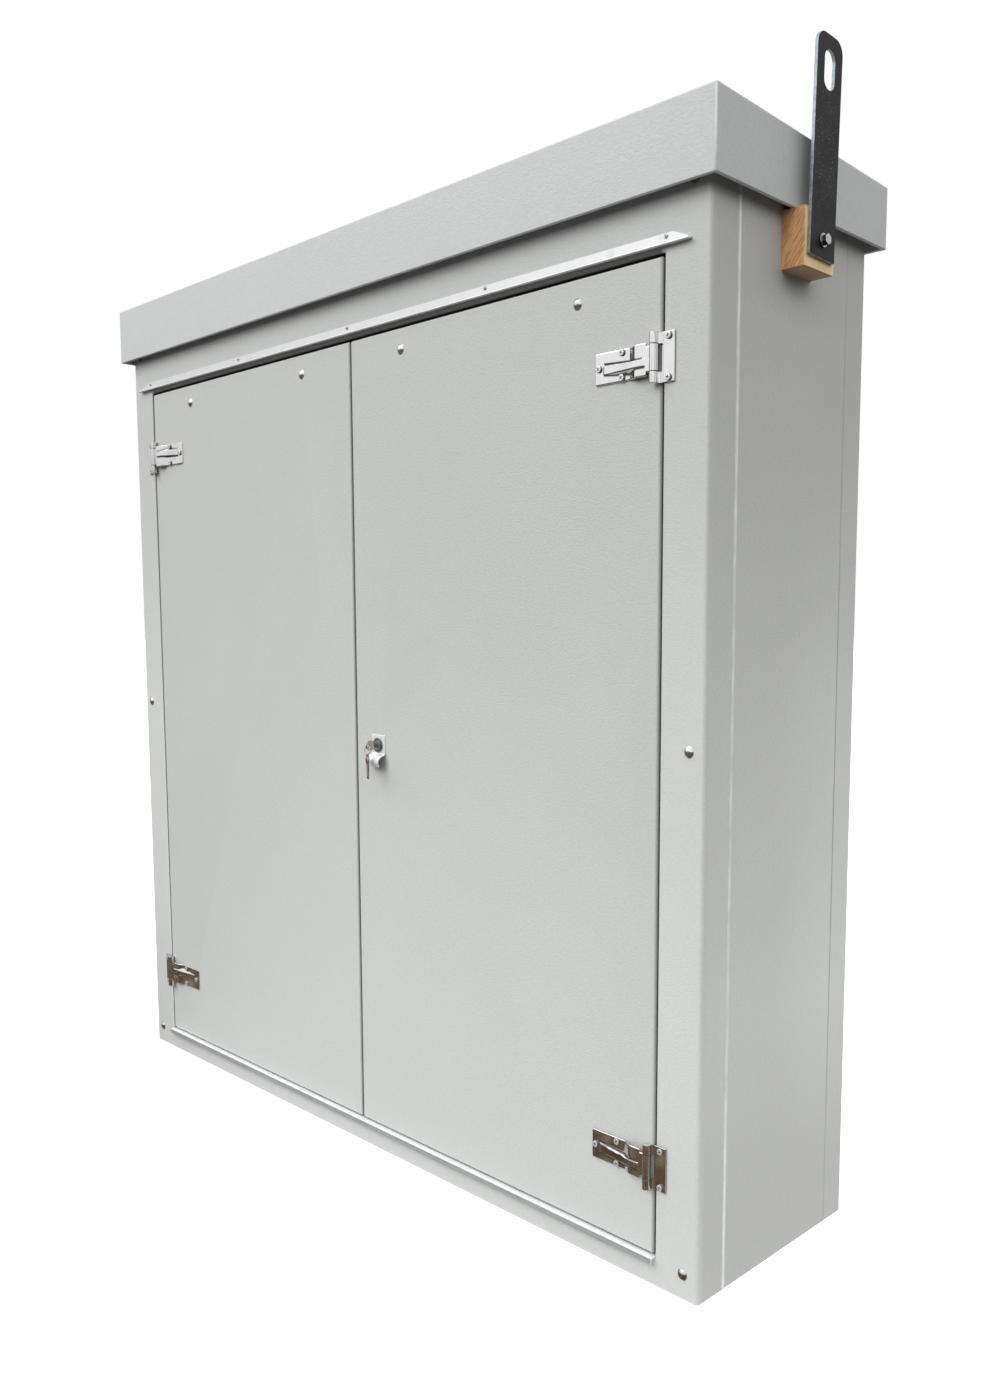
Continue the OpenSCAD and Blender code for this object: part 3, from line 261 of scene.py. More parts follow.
def linked(name, data):
    """A new object in the scene."""
    made = bpy.data.objects.new(name, data)
    bpy.context.scene.collection.objects.link(made)
    return made


def placed(name, work, finish, body, stands_for, crease=50):
    """Turns a bmesh into a finished piece that rides on a body."""
    return dressed(name, as_mesh(name, work), finish, body, stands_for, crease)


def dressed(name, mesh, finish, body, stands_for, crease=50):
    """Gives a mesh its shading and its finish, and makes the piece that rides on a body."""
    mesh.polygons.foreach_set("use_smooth", [True] * len(mesh.polygons))
    mesh.set_sharp_from_angle(angle=math.radians(crease))
    mesh = modified(mesh, "WEIGHTED_NORMAL", mode="FACE_AREA", weight=50, keep_sharp=True)
    true_flats(mesh)
    mesh.name = name
    mesh.materials.clear()
    mesh.materials.append(finish)
    piece = linked(name, mesh)
    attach(piece, body)
    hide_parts(*stands_for)
    return piece


def true_flats(mesh):
    """Shades the faces that are square to an axis as quite flat, also where they are slivers."""
    normals = [tuple(corner.vector) for corner in mesh.corner_normals]
    for face in mesh.polygons:
        if max(abs(part) for part in face.normal) > 0.99999:
            for i in face.loop_indices:
                normals[i] = tuple(face.normal)
    mesh.normals_split_custom_set(normals)


def modified(mesh, kind, **settings):
    """The mesh that one modifier makes of a mesh."""
    holder = linked("holder", mesh)
    modifier = holder.modifiers.new("step", kind)
    for key, value in settings.items():
        setattr(modifier, key, value)
    return evaluated(holder)


def evaluated(holder):
    """The mesh that an object's modifiers make of it; the object itself goes."""
    depsgraph = bpy.context.evaluated_depsgraph_get()
    made = bpy.data.meshes.new_from_object(holder.evaluated_get(depsgraph))
    bpy.data.objects.remove(holder)
    return made


def eased(name, stands_for, finish, body, radius, rings=2, pick=None):
    """A copy of CAD nodes with its sharp edges, or those picked, broken by a small radius."""
    work = merged_copy(*stands_for)
    sharp = [e for e in work.edges if e.is_manifold and e.calc_face_angle() > math.radians(35)]
    if pick:
        sharp = [e for e in sharp if all(pick(v.co) for v in e.verts)]
    bmesh.ops.bevel(
        work,
        geom=sharp,
        offset=radius,
        offset_type="OFFSET",
        segments=rings,
        profile=0.5,
        affect="EDGES",
        clamp_overlap=False,
        loop_slide=False,
        miter_outer="ARC",
    )
    return placed(name, work, finish, body, stands_for)


WELD = 0.002 * MM
TOUCH = 0.01 * MM
GRP_LEVEL = 0.588
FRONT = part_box("front_frame")[0].y
OPEN_X = 0.5411
MEETING_X = 3.5 * MM
OPEN_LOW = 0.032
OPEN_TOP = 1.1095
BEHIND_PULL = (0.056, FRONT, 0.551)
# painted light levels by height for the front, the side and its rear half: one gelcoat painted lighter
# or darker where the light falls differently
FRONT_LEVELS = (1.01, 1.18, 0.965)
SIDE_LEVELS = (0.91, 1.22, 0.92)
REAR_LEVELS = (0.91, 1.34, 0.88)
grp = gelcoat("grey_gelcoat", SIDE_LEVELS, SIDE_LEVELS, REAR_LEVELS)
front_grp = gelcoat("front_gelcoat", FRONT_LEVELS, SIDE_LEVELS, REAR_LEVELS, True)


def opening_edge(place):
    """True on the front edge of the door opening."""
    beside = abs(abs(place.x) - OPEN_X) < TOUCH
    across = min(abs(place.z - OPEN_LOW), abs(place.z - OPEN_TOP)) < TOUCH
    return abs(place.y - FRONT) < TOUCH and abs(place.x) < OPEN_X + TOUCH and (beside or across)


eased("front_moulding", ["front_frame"], front_grp, "cabinet", 1.2 * MM, 3, opening_edge)
eased("left_wall", ["left_side_panel"], grp, "cabinet", 0.3 * MM, 1)
eased("right_wall", ["right_side_panel"], grp, "cabinet", 0.3 * MM, 1)
eased("back_moulding", ["back_panel"], grp, "cabinet", 0.3 * MM, 1)


# Sealed seams: a tooled bead of pale sealant fills the joint behind the front moulding's return,
# and a flush joint closes the gap at the back moulding. Straps are bonded behind both.
def seam_paste():
    paste = Finish("tooled_sealant")
    smear = paste.noise(120, 3.0, 0.6, paste.stretched((1.0, 1.0, 0.25)))
    bead = paste.between(smear.rise(0.3, 0.75), stone(0.72), stone(0.92))
    flush = paste.between(smear.rise(0.3, 0.75), stone(0.42), stone(0.54))
    return paste.surface(
        {
            "Base Color": paste.between(paste.axis("Y").rise(0.0, 0.01), bead, flush),
            "Roughness": smear * 0.2 + 0.3,
            "Normal": paste.bump(smear, 0.6 * MM, 0.5),
        }
    )


def raw_laminate():
    mat = Finish("raw_laminate")
    strands = mat.noise(420, 4.0, 0.7, mat.stretched((1.0, 3.0, 0.6), (0.4, 0.2, 0.7)))
    weave = mat.noise(60, 3.0, 0.6)
    colour = mat.between(strands.rise(0.3, 0.7), (0.42, 0.42, 0.37, 1), (0.62, 0.62, 0.57, 1))
    return mat.surface(
        {
            "Base Color": colour,
            "Roughness": weave * 0.3 + 0.4,
            "Normal": mat.bump(strands + weave, 1.0 * MM, 0.6),
        }
    )


sealant = seam_paste()
laminate = raw_laminate()
eased("seam_beads", ["seam_sealant"], sealant, "cabinet", 0.2 * MM, 1)
eased("joint_straps", ["seam_straps"], laminate, "cabinet", 0.8 * MM, 1)


# Roof: one moulding with a deep skirt, a top that falls to the back and lightly rounded edges.
# Its lower edge is trimmed square and the sharp arris is rubbed off.
SKIRT_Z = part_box("roof")[0].z


def trimmed_rim(place):
    return place.z < SKIRT_Z + TOUCH


def marked(piece, name, test):
    """Keeps 1 on the faces whose normal passes a test, for the finish to read."""
    kept = piece.data.attributes.new(name, "FLOAT", "FACE")
    kept.data.foreach_set("value", [float(test(face.normal)) for face in piece.data.polygons])


ROOF_LEVELS = (1.0, 1.0, 1.005)
roof_grp = gelcoat("roof_gelcoat", ROOF_LEVELS, ROOF_LEVELS, ROOF_LEVELS, False, 0.3, 0.03)
roof_shell = eased("roof_moulding", ["roof"], roof_grp, "cabinet", 0.6 * MM, 2, trimmed_rim)
marked(roof_shell, "rained_on", lambda normal: normal.z > 0.9)


# Timber and board inside: a frame under the roof, and a plywood board screwed to battens on the
# back wall for the equipment. The faces show flat-sawn grain, the edges show the plies.
def plywood_finish(name, light, dark):
    board = Finish(name)
    wave = board.node(
        "ShaderNodeTexWave",
        {"wave_type": "RINGS", "rings_direction": "Y", "wave_profile": "SAW"},
        {
            "Vector": board.stretched((1.0, 6.0, 0.09)),
            "Scale": 9.0,
            "Distortion": 5.0,
            "Detail": 3.0,
            "Detail Scale": 1.6,
        },
        1,
    )
    fibre = board.noise(70, 4.0, 0.65, board.stretched((9.0, 9.0, 0.5)))
    colour = board.between(wave * 0.45 + fibre * 0.4, light, dark)
    return board.surface(
        {
            "Base Color": colour,
            "Roughness": fibre * 0.25 + 0.5,
            "Normal": board.bump(fibre + wave * 0.4, 0.4 * MM, 0.5),
        }
    )


plywood = plywood_finish("bare_plywood", (0.56, 0.38, 0.20, 1), (0.36, 0.21, 0.095, 1))
pine = plywood_finish("sawn_pine", (0.60, 0.43, 0.24, 1), (0.42, 0.26, 0.12, 1))
eased("board_panel", ["equipment_board"], plywood, "cabinet", 0.8 * MM)
eased("batten_set", ["board_battens"], pine, "cabinet", 1.0 * MM)
eased("roof_timber", ["top_frame"], pine, "cabinet", 1.2 * MM)


# Base and stile angles: welded angle sections, hot-dip galvanised. The base ring takes the plinth
# bolts, and the stile angles back up the front moulding.
def zinc_finish():
    zinc = Finish("hot_dip_zinc")
    cells = zinc.node("ShaderNodeTexVoronoi", {}, {"Vector": zinc.place, "Scale": 95.0}, "Color")
    spangle = zinc.node("ShaderNodeSeparateColor", {}, {"Color": cells})
    bloom = zinc.noise(14, 4.0, 0.6)
    share = spangle * 0.6 + bloom * 0.4
    return zinc.surface(
        {
            "Base Color": zinc.between(share, (0.40, 0.42, 0.44, 1), (0.66, 0.68, 0.70, 1)),
            "Metallic": 0.9,
            "Roughness": spangle * 0.15 + bloom * 0.2 + 0.28,
            "Normal": zinc.bump(bloom, 0.4 * MM, 0.4),
        }
    )


galvanised = zinc_finish()
eased("base_ring", ["base_frame"], galvanised, "cabinet", 0.8 * MM)
eased("stile_backing", ["stile_angles"], galvanised, "cabinet", 0.5 * MM, 1)


# Door seal: a strip of black sponge rubber with eased edges, stuck on the door stop all round the
# opening. The doors shut against it.
def rubber_finish(name, level):
    rubber = Finish(name)
    cell = rubber.noise(1400, 2.0, 0.6)
    dust = rubber.noise(35, 3.0, 0.6)
    return rubber.surface(
        {
            "Base Color": rubber.between(dust.rise(0.45, 0.8) * 0.5, grey(level), grey(level * 2.6)),
            "Roughness": cell * 0.2 + 0.65,
            "Normal": rubber.bump(cell, 0.3 * MM, 0.5),
        }
    )


sponge = rubber_finish("sponge_rubber", 0.012)
eased("door_stop_seal", ["door_gasket"], sponge, "cabinet", 0.8 * MM)


# Drip rail and sill trim: bright aluminium extrusions. The rail is riveted over the doors with its
# ends cut back, and the sill trim is pressed over the lower edge of the opening.
def drawn_aluminium(name, level, shaded_front_level, metal_share):
    """Aluminium with lines along the draw; its front may be painted darker than its top, as painted
    shade.
    """
    metal = Finish(name)
    front = metal.kept("front")
    streak = metal.noise(260, 3.0, 0.6, metal.stretched((0.03, 1.0, 1.0)))
    smudge = metal.noise(40, 4.0, 0.65)
    scuff = smudge.rise(0.52, 0.72)
    clean = metal.between(front, grey(level, -0.012), grey(shaded_front_level, -0.02))
    clean = metal.shaded(front * streak.rise(0.4, 0.6), clean, 0.86)
    return metal.surface(
        {
            "Base Color": metal.shaded(scuff * 0.6, clean, 0.78),
            "Metallic": metal_share,
            "Roughness": streak * 0.16 + scuff * 0.12 + 0.3,
            "Normal": metal.bump(streak + smudge * 0.3, 0.12 * MM, 0.35),
        }
    )


aluminium = drawn_aluminium("drawn_aluminium", 0.80, 0.80, 0.62)
# the sill's front is painted darker than its lit top: painted light and shade
sill_aluminium = drawn_aluminium("sill_aluminium", 1.0, 0.46, 0.3)
eased("drip_rail_extrusion", ["drip_rail"], aluminium, "cabinet", 0.25 * MM)
sill = eased("sill_extrusion", ["sill_trim"], sill_aluminium, "cabinet", 0.3 * MM)
marked(sill, "front", lambda normal: normal.y < -0.9)


# Fasteners: stainless dome bolts with nuts, cross-slotted pan screws in the hinges and on the
# board, and blind rivets in the rail. Each kind is one turned shape set on its list of places.
def polished_steel(name, level, rough, warm=0.0, eaves=False, metal_share=1.0):
    """Steel that mirrors, darkened by painted shade in recesses and, at wish, by painted shade under
    the eaves.
    """
    steel = Finish(name)
    painted_dark = steel.kept("recess_shade") * 0.92
    if eaves:
        # painted shade under the roof's skirt
        painted_dark = painted_dark.most(steel.axis("Z").rise(*EAVES_SHADE) * 0.85)
    hairline = steel.noise(700, 2.0, 0.6, steel.stretched((1.0, 1.0, 0.05), (0.0, 0.3, 0.0)))
    handling = steel.noise(30, 4.0, 0.6)
    bright = steel.between(handling.rise(0.4, 0.8), grey(level, warm), grey(level * 0.86, warm + 0.01))
    return steel.surface(
        {
            "Base Color": steel.between(painted_dark, bright, (0.045, 0.042, 0.038, 1)),
            "Metallic": metal_share,
            "Roughness": hairline * 0.06 + handling.rise(0.45, 0.8) * 0.08 + painted_dark * 0.35 + rough,
            "Normal": steel.bump(steel.noise(34, 1.0, 0.4), 0.35 * MM, 0.16),
        }
    )


# above this height the steel is painted dark, as shade under the skirt
EAVES_SHADE = (1.160, 1.168)
stainless = polished_steel("polished_stainless", 0.80, 0.07)
eaves_shaded_steel = polished_steel("stainless_painted_eaves_shade", 0.80, 0.07, 0.0, True)
satin_steel = polished_steel("satin_stainless", 0.66, 0.24)
rivet_metal = polished_steel("rivet_aluminium", 0.50, 0.32)
screw_zinc = polished_steel("screw_zinc", 0.86, 0.2, 0.0, False, 0.55)


def recess_shaded(work, amount):
    """Keeps how dark painted shade makes each vertex, in recesses and where parts meet, for the finish
    to read.
    """
    layer = work.verts.layers.float.new("recess_shade")
    for vert in work.verts:
        vert[layer] = amount(vert.co)
    return work


def circle(radius, steps):
    """Points on a circle; a radius of 0 leaves one point."""
    if radius == 0:
        return [(0, 0)]
    turns = [2 * math.pi * i / steps for i in range(steps)]
    return [(radius * math.cos(turn), radius * math.sin(turn)) for turn in turns]


def belts(work, rings):
    """Closes the belts between rings of vertices; a ring of one vertex is a pole."""
    steps = max(len(ring) for ring in rings)
    faces = []
    for one, two in zip(rings, rings[1:]):
        for i in range(steps):
            j = (i + 1) % steps
            corners = [one[i % len(one)], one[j % len(one)], two[j % len(two)], two[i % len(two)]]
            faces.append(work.faces.new(list(dict.fromkeys(corners))))
    bmesh.ops.recalc_face_normals(work, faces=faces)


def rings_about_y(work, profile, steps):
    """Rings of vertices about Y from (radius, y) pairs."""
    return [[work.verts.new((x, y, z)) for x, z in circle(radius, steps)] for radius, y in profile]


def turned(profile, steps):
    """A closed shape turned about Y from (radius, y) pairs, from its front end to its back end."""
    work = bmesh.new()
    belts(work, rings_about_y(work, profile, steps))
    return work


def hexagon(work, across, y0, y1, chamfer, bore):
    """A chamfered hexagon nut about Y, with a plain bore."""
    corner = across / 2 / math.cos(math.pi / 6)
    profile = [(bore, y0), (corner - chamfer, y0), (corner, y0 + chamfer)]
    profile = profile + [(corner, y1 - chamfer), (corner - chamfer, y1), (bore, y1)]
    rings = rings_about_y(work, profile, 6)
    belts(work, rings + rings[:1])


def dome_bolt(grip):
    """A dome-headed bolt with its nut, the head's flat face at y = 0."""
    head_r = 6.5 * MM
    head_h = 3.2 * MM
    shank_r = 3 * MM
    tip = grip + 6 * MM
    cap_r = (head_r**2 + head_h**2) / (2 * head_h)
    profile = [(0, -head_h)]
    for i in range(1, 9):
        y = -head_h + (head_h - 0.5 * MM) * (i / 8) ** 1.7
        profile.append((math.sqrt(cap_r**2 - (y - cap_r + head_h) ** 2), y))
    profile = profile + [(head_r, -0.25 * MM), (head_r - 0.15 * MM, 0), (shank_r, 0)]
    profile = profile + [(shank_r, tip - 0.4 * MM), (shank_r - 0.5 * MM, tip), (0, tip)]
    work = turned(profile, 32)
    hexagon(work, 10 * MM, grip, grip + 5 * MM, 0.5 * MM, 3.02 * MM)
    # painted shade in the ring where the head meets the sheet
    return recess_shaded(work, lambda co: abs(co.y) < 0.1 * MM)


def pan_screw(head_r, head_h, length):
    """A pan-headed screw with a cross slot, the head's flat face at y = 0."""
    edge = 0.45 * head_h
    profile = [(0, -head_h), (head_r * 0.55, -head_h * 0.985)]
    for i in range(6):
        a = math.pi / 2 * i / 5
        profile.append((head_r - edge + edge * math.sin(a), -head_h + edge - edge * math.cos(a)))
    profile = profile + [(head_r, 0), (2 * MM, 0), (2 * MM, length - 3 * MM), (0, length)]
    mesh = as_mesh("screw_blank", turned(profile, 24))
    slot = bmesh.new()
    for wide, high in ((0.62, 0.13), (0.13, 0.62)):
        size = Matrix.Diagonal((wide * head_r * 2, head_h * 1.1, high * head_r * 2, 1))
        bmesh.ops.create_cube(slot, size=1, matrix=Matrix.Translation((0, -head_h, 0)) @ size)
    cutter = linked("cross_slot", as_mesh("cross_slot", slot))
    settings = {"operation": "DIFFERENCE", "solver": "EXACT", "use_self": True, "object": cutter}
    cut = modified(mesh, "BOOLEAN", **settings)
    bpy.data.objects.remove(cutter)
    work = bmesh.new()
    work.from_mesh(cut)

    def low_spots(co):
        """Painted shade: 1 where the head meets the sheet, and less round its rim and in the foot of
        the slot.
        """
        out = math.hypot(co.x, co.z) / head_r
        if abs(co.y) < 0.1 * MM:
            return 1.0
        if out > 0.95:
            return 0.7
        return 0.9 * (out < 0.7 and abs(co.y + 0.45 * head_h) < 0.05 * head_h)

    return recess_shaded(work, low_spots)


def blind_rivet():
    """A blind rivet: a low dome with the broken mandrel sunk in its middle."""
    profile = [(0, -0.55), (0.75, -0.6), (0.85, -1.15), (1.2, -1.2), (1.9, -0.95), (2.4, -0.45)]
    profile = profile + [(2.5, -0.15), (2.45, 0), (1.25, 0), (1.25, 6.5), (0, 6.5)]
    return turned([(radius * MM, y * MM) for radius, y in profile], 24)


def fastener_tree():
    """Geometry Nodes that set one fastener on every place, each turned a little differently."""
    tree = bpy.data.node_groups.new("set_fasteners", "GeometryNodeTree")
    inputs = {
        "Places": "Geometry",
        "Fastener": "Object",
        "Turn": "Float",
        "Seed": "Int",
        "Finish": "Material",
    }
    for name, kind in inputs.items():
        tree.interface.new_socket(name, in_out="INPUT", socket_type="NodeSocket" + kind)
    tree.interface.new_socket("Geometry", in_out="OUTPUT", socket_type="NodeSocketGeometry")
    add = tree.nodes.new
    entry = add("NodeGroupInput")
    source = add("GeometryNodeObjectInfo")
    spin = add("FunctionNodeRandomValue")
    spin.data_type = "FLOAT"
    turn = add("ShaderNodeCombineXYZ")
    put = add("GeometryNodeInstanceOnPoints")
    solid = add("GeometryNodeRealizeInstances")
    paint = add("GeometryNodeSetMaterial")
    leave = add("NodeGroupOutput")
    join = tree.links.new
    join(entry.outputs["Fastener"], source.inputs["Object"])
    floats = [s for s in spin.inputs if s.type == "VALUE"]
    join(entry.outputs["Turn"], floats[1])
    join(entry.outputs["Seed"], spin.inputs["Seed"])
    join([s for s in spin.outputs if s.type == "VALUE"][0], turn.inputs["Y"])
    join(entry.outputs["Places"], put.inputs["Points"])
    join(source.outputs["Geometry"], put.inputs["Instance"])
    join(turn.outputs["Vector"], put.inputs["Rotation"])
    join(put.outputs["Instances"], solid.inputs["Geometry"])
    join(solid.outputs["Geometry"], paint.inputs["Geometry"])
    join(entry.outputs["Finish"], paint.inputs["Material"])
    join(paint.outputs["Geometry"], leave.inputs["Geometry"])
    return tree


FASTENERS = fastener_tree()


def set_fasteners(name, work, places, finish, body, stands_for, turn=0.0, seed=1):
    """Sets copies of one fastener on places in metres and makes one plain mesh of them."""
    pattern = linked(name + "_pattern", as_mesh(name + "_pattern", work))
    spots = bpy.data.meshes.new(name + "_places")
    spots.from_pydata(places, [], [])
    holder = linked(name + "_places", spots)
    modifier = holder.modifiers.new("fasteners", "NODES")
    modifier.node_group = FASTENERS
    values = {"Fastener": pattern, "Turn": turn, "Seed": seed, "Finish": finish}
    for item in FASTENERS.interface.items_tree:
        if item.in_out == "INPUT" and item.name in values:
            modifier[item.identifier] = values[item.name]
    mesh = evaluated(holder)
    bpy.data.objects.remove(pattern)
    return dressed(name, mesh, finish, body, stands_for)


STILE_BOLT_X = 0.579
STILE_BOLT_Z = (0.028, 0.601, 1.174)
RIVET_REACH = 0.5435
RIVET_Y = FRONT - 1.5 * MM
RIVET_Z = 1.1243
BOARD_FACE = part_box("equipment_board")[0].y
BOARD_SCREW = (5 * MM, 2.2 * MM, 28 * MM)
BOARD_SCREW_X = (-0.4975, 0.0, 0.4975)
BOARD_SCREW_Z = (0.135, 1.045)
SCREW_TURN = 3.0
stile_spots = [(side * STILE_BOLT_X, FRONT, z) for side in (-1, 1) for z in STILE_BOLT_Z]
set_fasteners(
    "stile_bolts", dome_bolt(8 * MM), stile_spots, eaves_shaded_steel, "cabinet",
    ["frame_bolts"],
)
rivet_row = [(RIVET_REACH * (i / 2 - 1), RIVET_Y, RIVET_Z) for i in range(5)]
set_fasteners(
    "rail_rivets", blind_rivet(), rivet_row, rivet_metal, "cabinet",
    ["drip_rail_rivets"],
)
board_spots = [(x, BOARD_FACE, z) for x in BOARD_SCREW_X for z in BOARD_SCREW_Z]
set_fasteners(
    "board_fixings", pan_screw(*BOARD_SCREW), board_spots, satin_steel, "cabinet",
    ["board_screws"], SCREW_TURN, 4,
)


# Hinges: pressed stainless leaves, polished bright. The frame leaf is flat with two rolled
# knuckles; the door leaf is cranked over the gap and stiffened by one long pressed rib.
HANDS = ((-1, "left"), (1, "right"))
PIN_X = 0.5322
PIN_Y = FRONT - 6 * MM
UPPER_Z = 1.0055
LOWER_Z = 0.138


def smooth(value, low, high):
    t = min(max((value - low) / (high - low), 0), 1)
    return t * t * (3 - 2 * t)


def hump(offset, width):
    """1 in the middle, falling off evenly to both sides."""
    return math.exp(-((offset / width) ** 2))


def edge_drop(distance, radius):
    """How far a rounded edge falls away at a distance from the border."""
    if distance >= radius:
        return 0
    return radius - math.sqrt(max(radius**2 - (radius - distance) ** 2, 0))


def door_leaf_mesh():
    """The cranked door leaf about its pin axis, in millimetres: a pressed sheet and its knuckle."""
    length, near, half, knuckle_half = 85.2, 10.0, 17.0, 13.5
    thick, out, corner, near_corner, edge = 2.0, 6.0, 2.0, 0.6, 1.4
    rib_low, rib_start, rib_top, rib_end, groove_start = -6.2, -72.2, -26.0, -11.0, 4.0
    crank_start, crank_run, press, field = -36.0, 11.0, 0.9, 11.5
    flat, raised, crest = out - thick, -1.0, -2.6
    xs = [-length + d for d in (0, 0.1, 0.3, 0.6, 1.0, 1.5, 2.0)]
    count = 80
    reach = length - 3.0 - near - 1.0
    xs = xs + [-length + 3.0 + reach * i / count for i in range(count + 1)]
    xs = xs + [-near - d for d in (0.6, 0.4, 0.2, 0.05, 0.0, -0.02)] + [-8.5, -7, -5.5, -4.5, -3.5]

    def half_width(x):
        if x < -length + corner:
            return half - corner + math.sqrt(corner**2 - (corner - x - length) ** 2)
        if x > -near:
            return knuckle_half
        if x > -near - near_corner:
            return half - near_corner + math.sqrt(near_corner**2 - (near_corner + x + near) ** 2)
        return half

    def sheet(x):
        """The crank: a straight ramp with a small bend at each end."""
        spread = (-1.5, -0.75, 0, 0.75, 1.5)
        shares = [min(max((x + d - crank_start) / crank_run, 0), 1) for d in spread]
        return flat + (raised - flat) * sum(shares) / len(spread)

    def rib(x):
        """The rib's crest, the width of its sloped lower side and the line of the groove over it."""
        climb = min(max((x - rib_start) / (rib_top - rib_start), 0), 1)
        top = min(flat - press + (crest - flat + press) * climb, sheet(x) - press)
        return top, 0.6 + 0.9 * (sheet(x) - top), groove_start - 2.4 * climb

    def pressed(x, z):
        """The front of the sheet, with the rib, and how much painted shade lies in the groove and at
        the rib's foot.
        """
        y = sheet(x)
        along = smooth(x, rib_start - 1.0, rib_start + 0.6) * (1 - smooth(x, rib_end - 2.0, rib_end))
        top, slope, groove_z = rib(x)
        share = smooth(z, rib_low - slope, rib_low) * (1 - smooth(z, groove_z - 1.6, groove_z - 0.4))
        groove = hump(z - groove_z, 0.8) * (1 - smooth(x, rib_top, rib_top + 2.0))
        groove_shade = hump(z - groove_z, 1.1) * (1 - smooth(x, -16.0, -14.0))
        foot_shade = 0.9 * hump(z - rib_low + slope, 0.9)
        return y + along * ((top - y) * share + 0.5 * groove), along * max(groove_shade, foot_shade)

    def follow(x, z):
        """A row of the grid, shifted so that the rows run along the rib's foot and the groove."""
        _, slope, groove_z = rib(x)
        foot = max(rib_low - slope, 0.3 - field)
        knots = [(-field, -field), (-9.5, foot), (rib_low, rib_low)]
        knots = knots + [(groove_start, groove_z), (field, field)]
        for (a, to_a), (b, to_b) in zip(knots, knots[1:]):
            if z <= b:
                return to_a + (to_b - to_a) * (z - a) / (b - a)

    middle = [-field + 0.4 * i for i in range(58)] + [field]
    rim = (1.6, 1.0, 0.6, 0.3, 0.1, 0.0)
    work = bmesh.new()
    recess_shade = work.verts.layers.float.new("recess_shade")
    front, back = [], []
    for x in xs:
        w = half_width(x)
        side = [field + (w - rim[0] - field) * t for t in (0.35, 0.7)] + [w - d for d in rim]
        zs = [-z for z in reversed(side)] + [follow(x, z) for z in middle] + side
        one, two = [], []
        for z in zs:
            gone = max(edge_drop(w - abs(z), edge), edge_drop(x + length, edge))
            y, crease_shade = pressed(x, z)
            one.append(work.verts.new((x, y + gone, z)))
            two.append(work.verts.new((x, sheet(x) + thick, z)))
            # painted shade along the rib; the back of the leaf is painted all shaded
            one[-1][recess_shade] = crease_shade
            two[-1][recess_shade] = 1.0
        front.append(one)
        back.append(two)
    slab_faces(work, front, back)
    rolled(work, -knuckle_half, knuckle_half)
    return work


def slab_faces(work, front, back):
    """Closes two grids of vertices, a front and a back, into one slab."""
    rows, count = len(front), len(front[0])
    for i in range(rows - 1):
        for j in range(count - 1):
            work.faces.new([front[i][j], front[i][j + 1], front[i + 1][j + 1], front[i + 1][j]])
            work.faces.new([back[i][j], back[i + 1][j], back[i + 1][j + 1], back[i][j + 1]])
        work.faces.new([front[i][0], front[i + 1][0], back[i + 1][0], back[i][0]])
        work.faces.new([front[i][-1], back[i][-1], back[i + 1][-1], front[i + 1][-1]])
    for j in range(count - 1):
        work.faces.new([front[0][j], back[0][j], back[0][j + 1], front[0][j + 1]])
        work.faces.new([front[-1][j], front[-1][j + 1], back[-1][j + 1], back[-1][j]])
    bmesh.ops.recalc_face_normals(work, faces=work.faces)


def rolled(work, z0, z1):
    """A rolled knuckle about the pin axis, with rounded rims."""
    outer, bore, rim, steps = 5.0, 2.05, 0.5, 40
    soft = 0.3 * rim
    rows = [(bore, z0), (outer - rim, z0), (outer - soft, z0 + soft), (outer, z0 + rim)]
    rows = rows + [(outer, z1 - rim), (outer - soft, z1 - soft), (outer - rim, z1), (bore, z1)]
    recess_shade = work.verts.layers.float["recess_shade"]
    rings = []
    for radius, z in rows:
        ring = [work.verts.new((x, y, z)) for x, y in circle(radius, steps)]
        for vert in ring:
            # painted shade on the knuckle's ends, inside its rims
            vert[recess_shade] = radius < outer - 0.6 * rim
        rings.append(ring)
    belts(work, rings + rings[:1])


def frame_leaf_mesh():
    """The frame leaf about its pin axis, in millimetres: a plate with a knuckle at each end."""
    thick, out, x0, x1, half, edge = 2.0, 6.0, 7.7, 23.7, 25.5, 0.7
    border = [0, 0.1, 0.3, 0.6, 1.0, 1.6]
    inset = border[-1]

    def lines(low, high, count):
        """Grid lines from low to high, close together at both borders."""
        inner = [low + inset + (high - low - 2 * inset) * i / count for i in range(1, count)]
        return [low + b for b in border] + inner + [high - b for b in reversed(border)]

    work = bmesh.new()
    recess_shade = work.verts.layers.float.new("recess_shade")
    front, back = [], []
    for x in lines(x0, x1, 8):
        one, two = [], []
        for z in lines(-half, half, 24):
            gone = max(edge_drop(x1 - x, edge), edge_drop(half - abs(z), edge))
            one.append(work.verts.new((x, out - thick + gone, z)))
            two.append(work.verts.new((x, out, z)))
            # the back of the plate is painted all shaded
            two[-1][recess_shade] = 1.0
        front.append(one)
        back.append(two)
    slab_faces(work, front, back)
    for z0, z1 in ((14.0, half), (-half, -14.0)):
        rolled(work, z0, z1)
        # the sheet runs from the plate into the knuckle with a hollow bend
        upper = [(9.0, 3.98)]
        for i in range(9):
            t = i / 8
            upper.append((9.0 - 5.6 * t, 3.98 - 1.6 * t**2.2 - 0.1 * t))
        lower = [(2.0, 4.4), (4.0, 5.7), (9.0, 5.7)]
        loop = upper + lower
        low = [work.verts.new((x, y, z0 + 0.25)) for x, y in loop]
        high = [work.verts.new((x, y, z1 - 0.25)) for x, y in loop]
        faces = [work.faces.new(low), work.faces.new(high)]
        for i in range(len(loop)):
            j = (i + 1) % len(loop)
            faces.append(work.faces.new([low[i], low[j], high[j], high[i]]))
        bmesh.ops.recalc_face_normals(work, faces=faces)
    return work


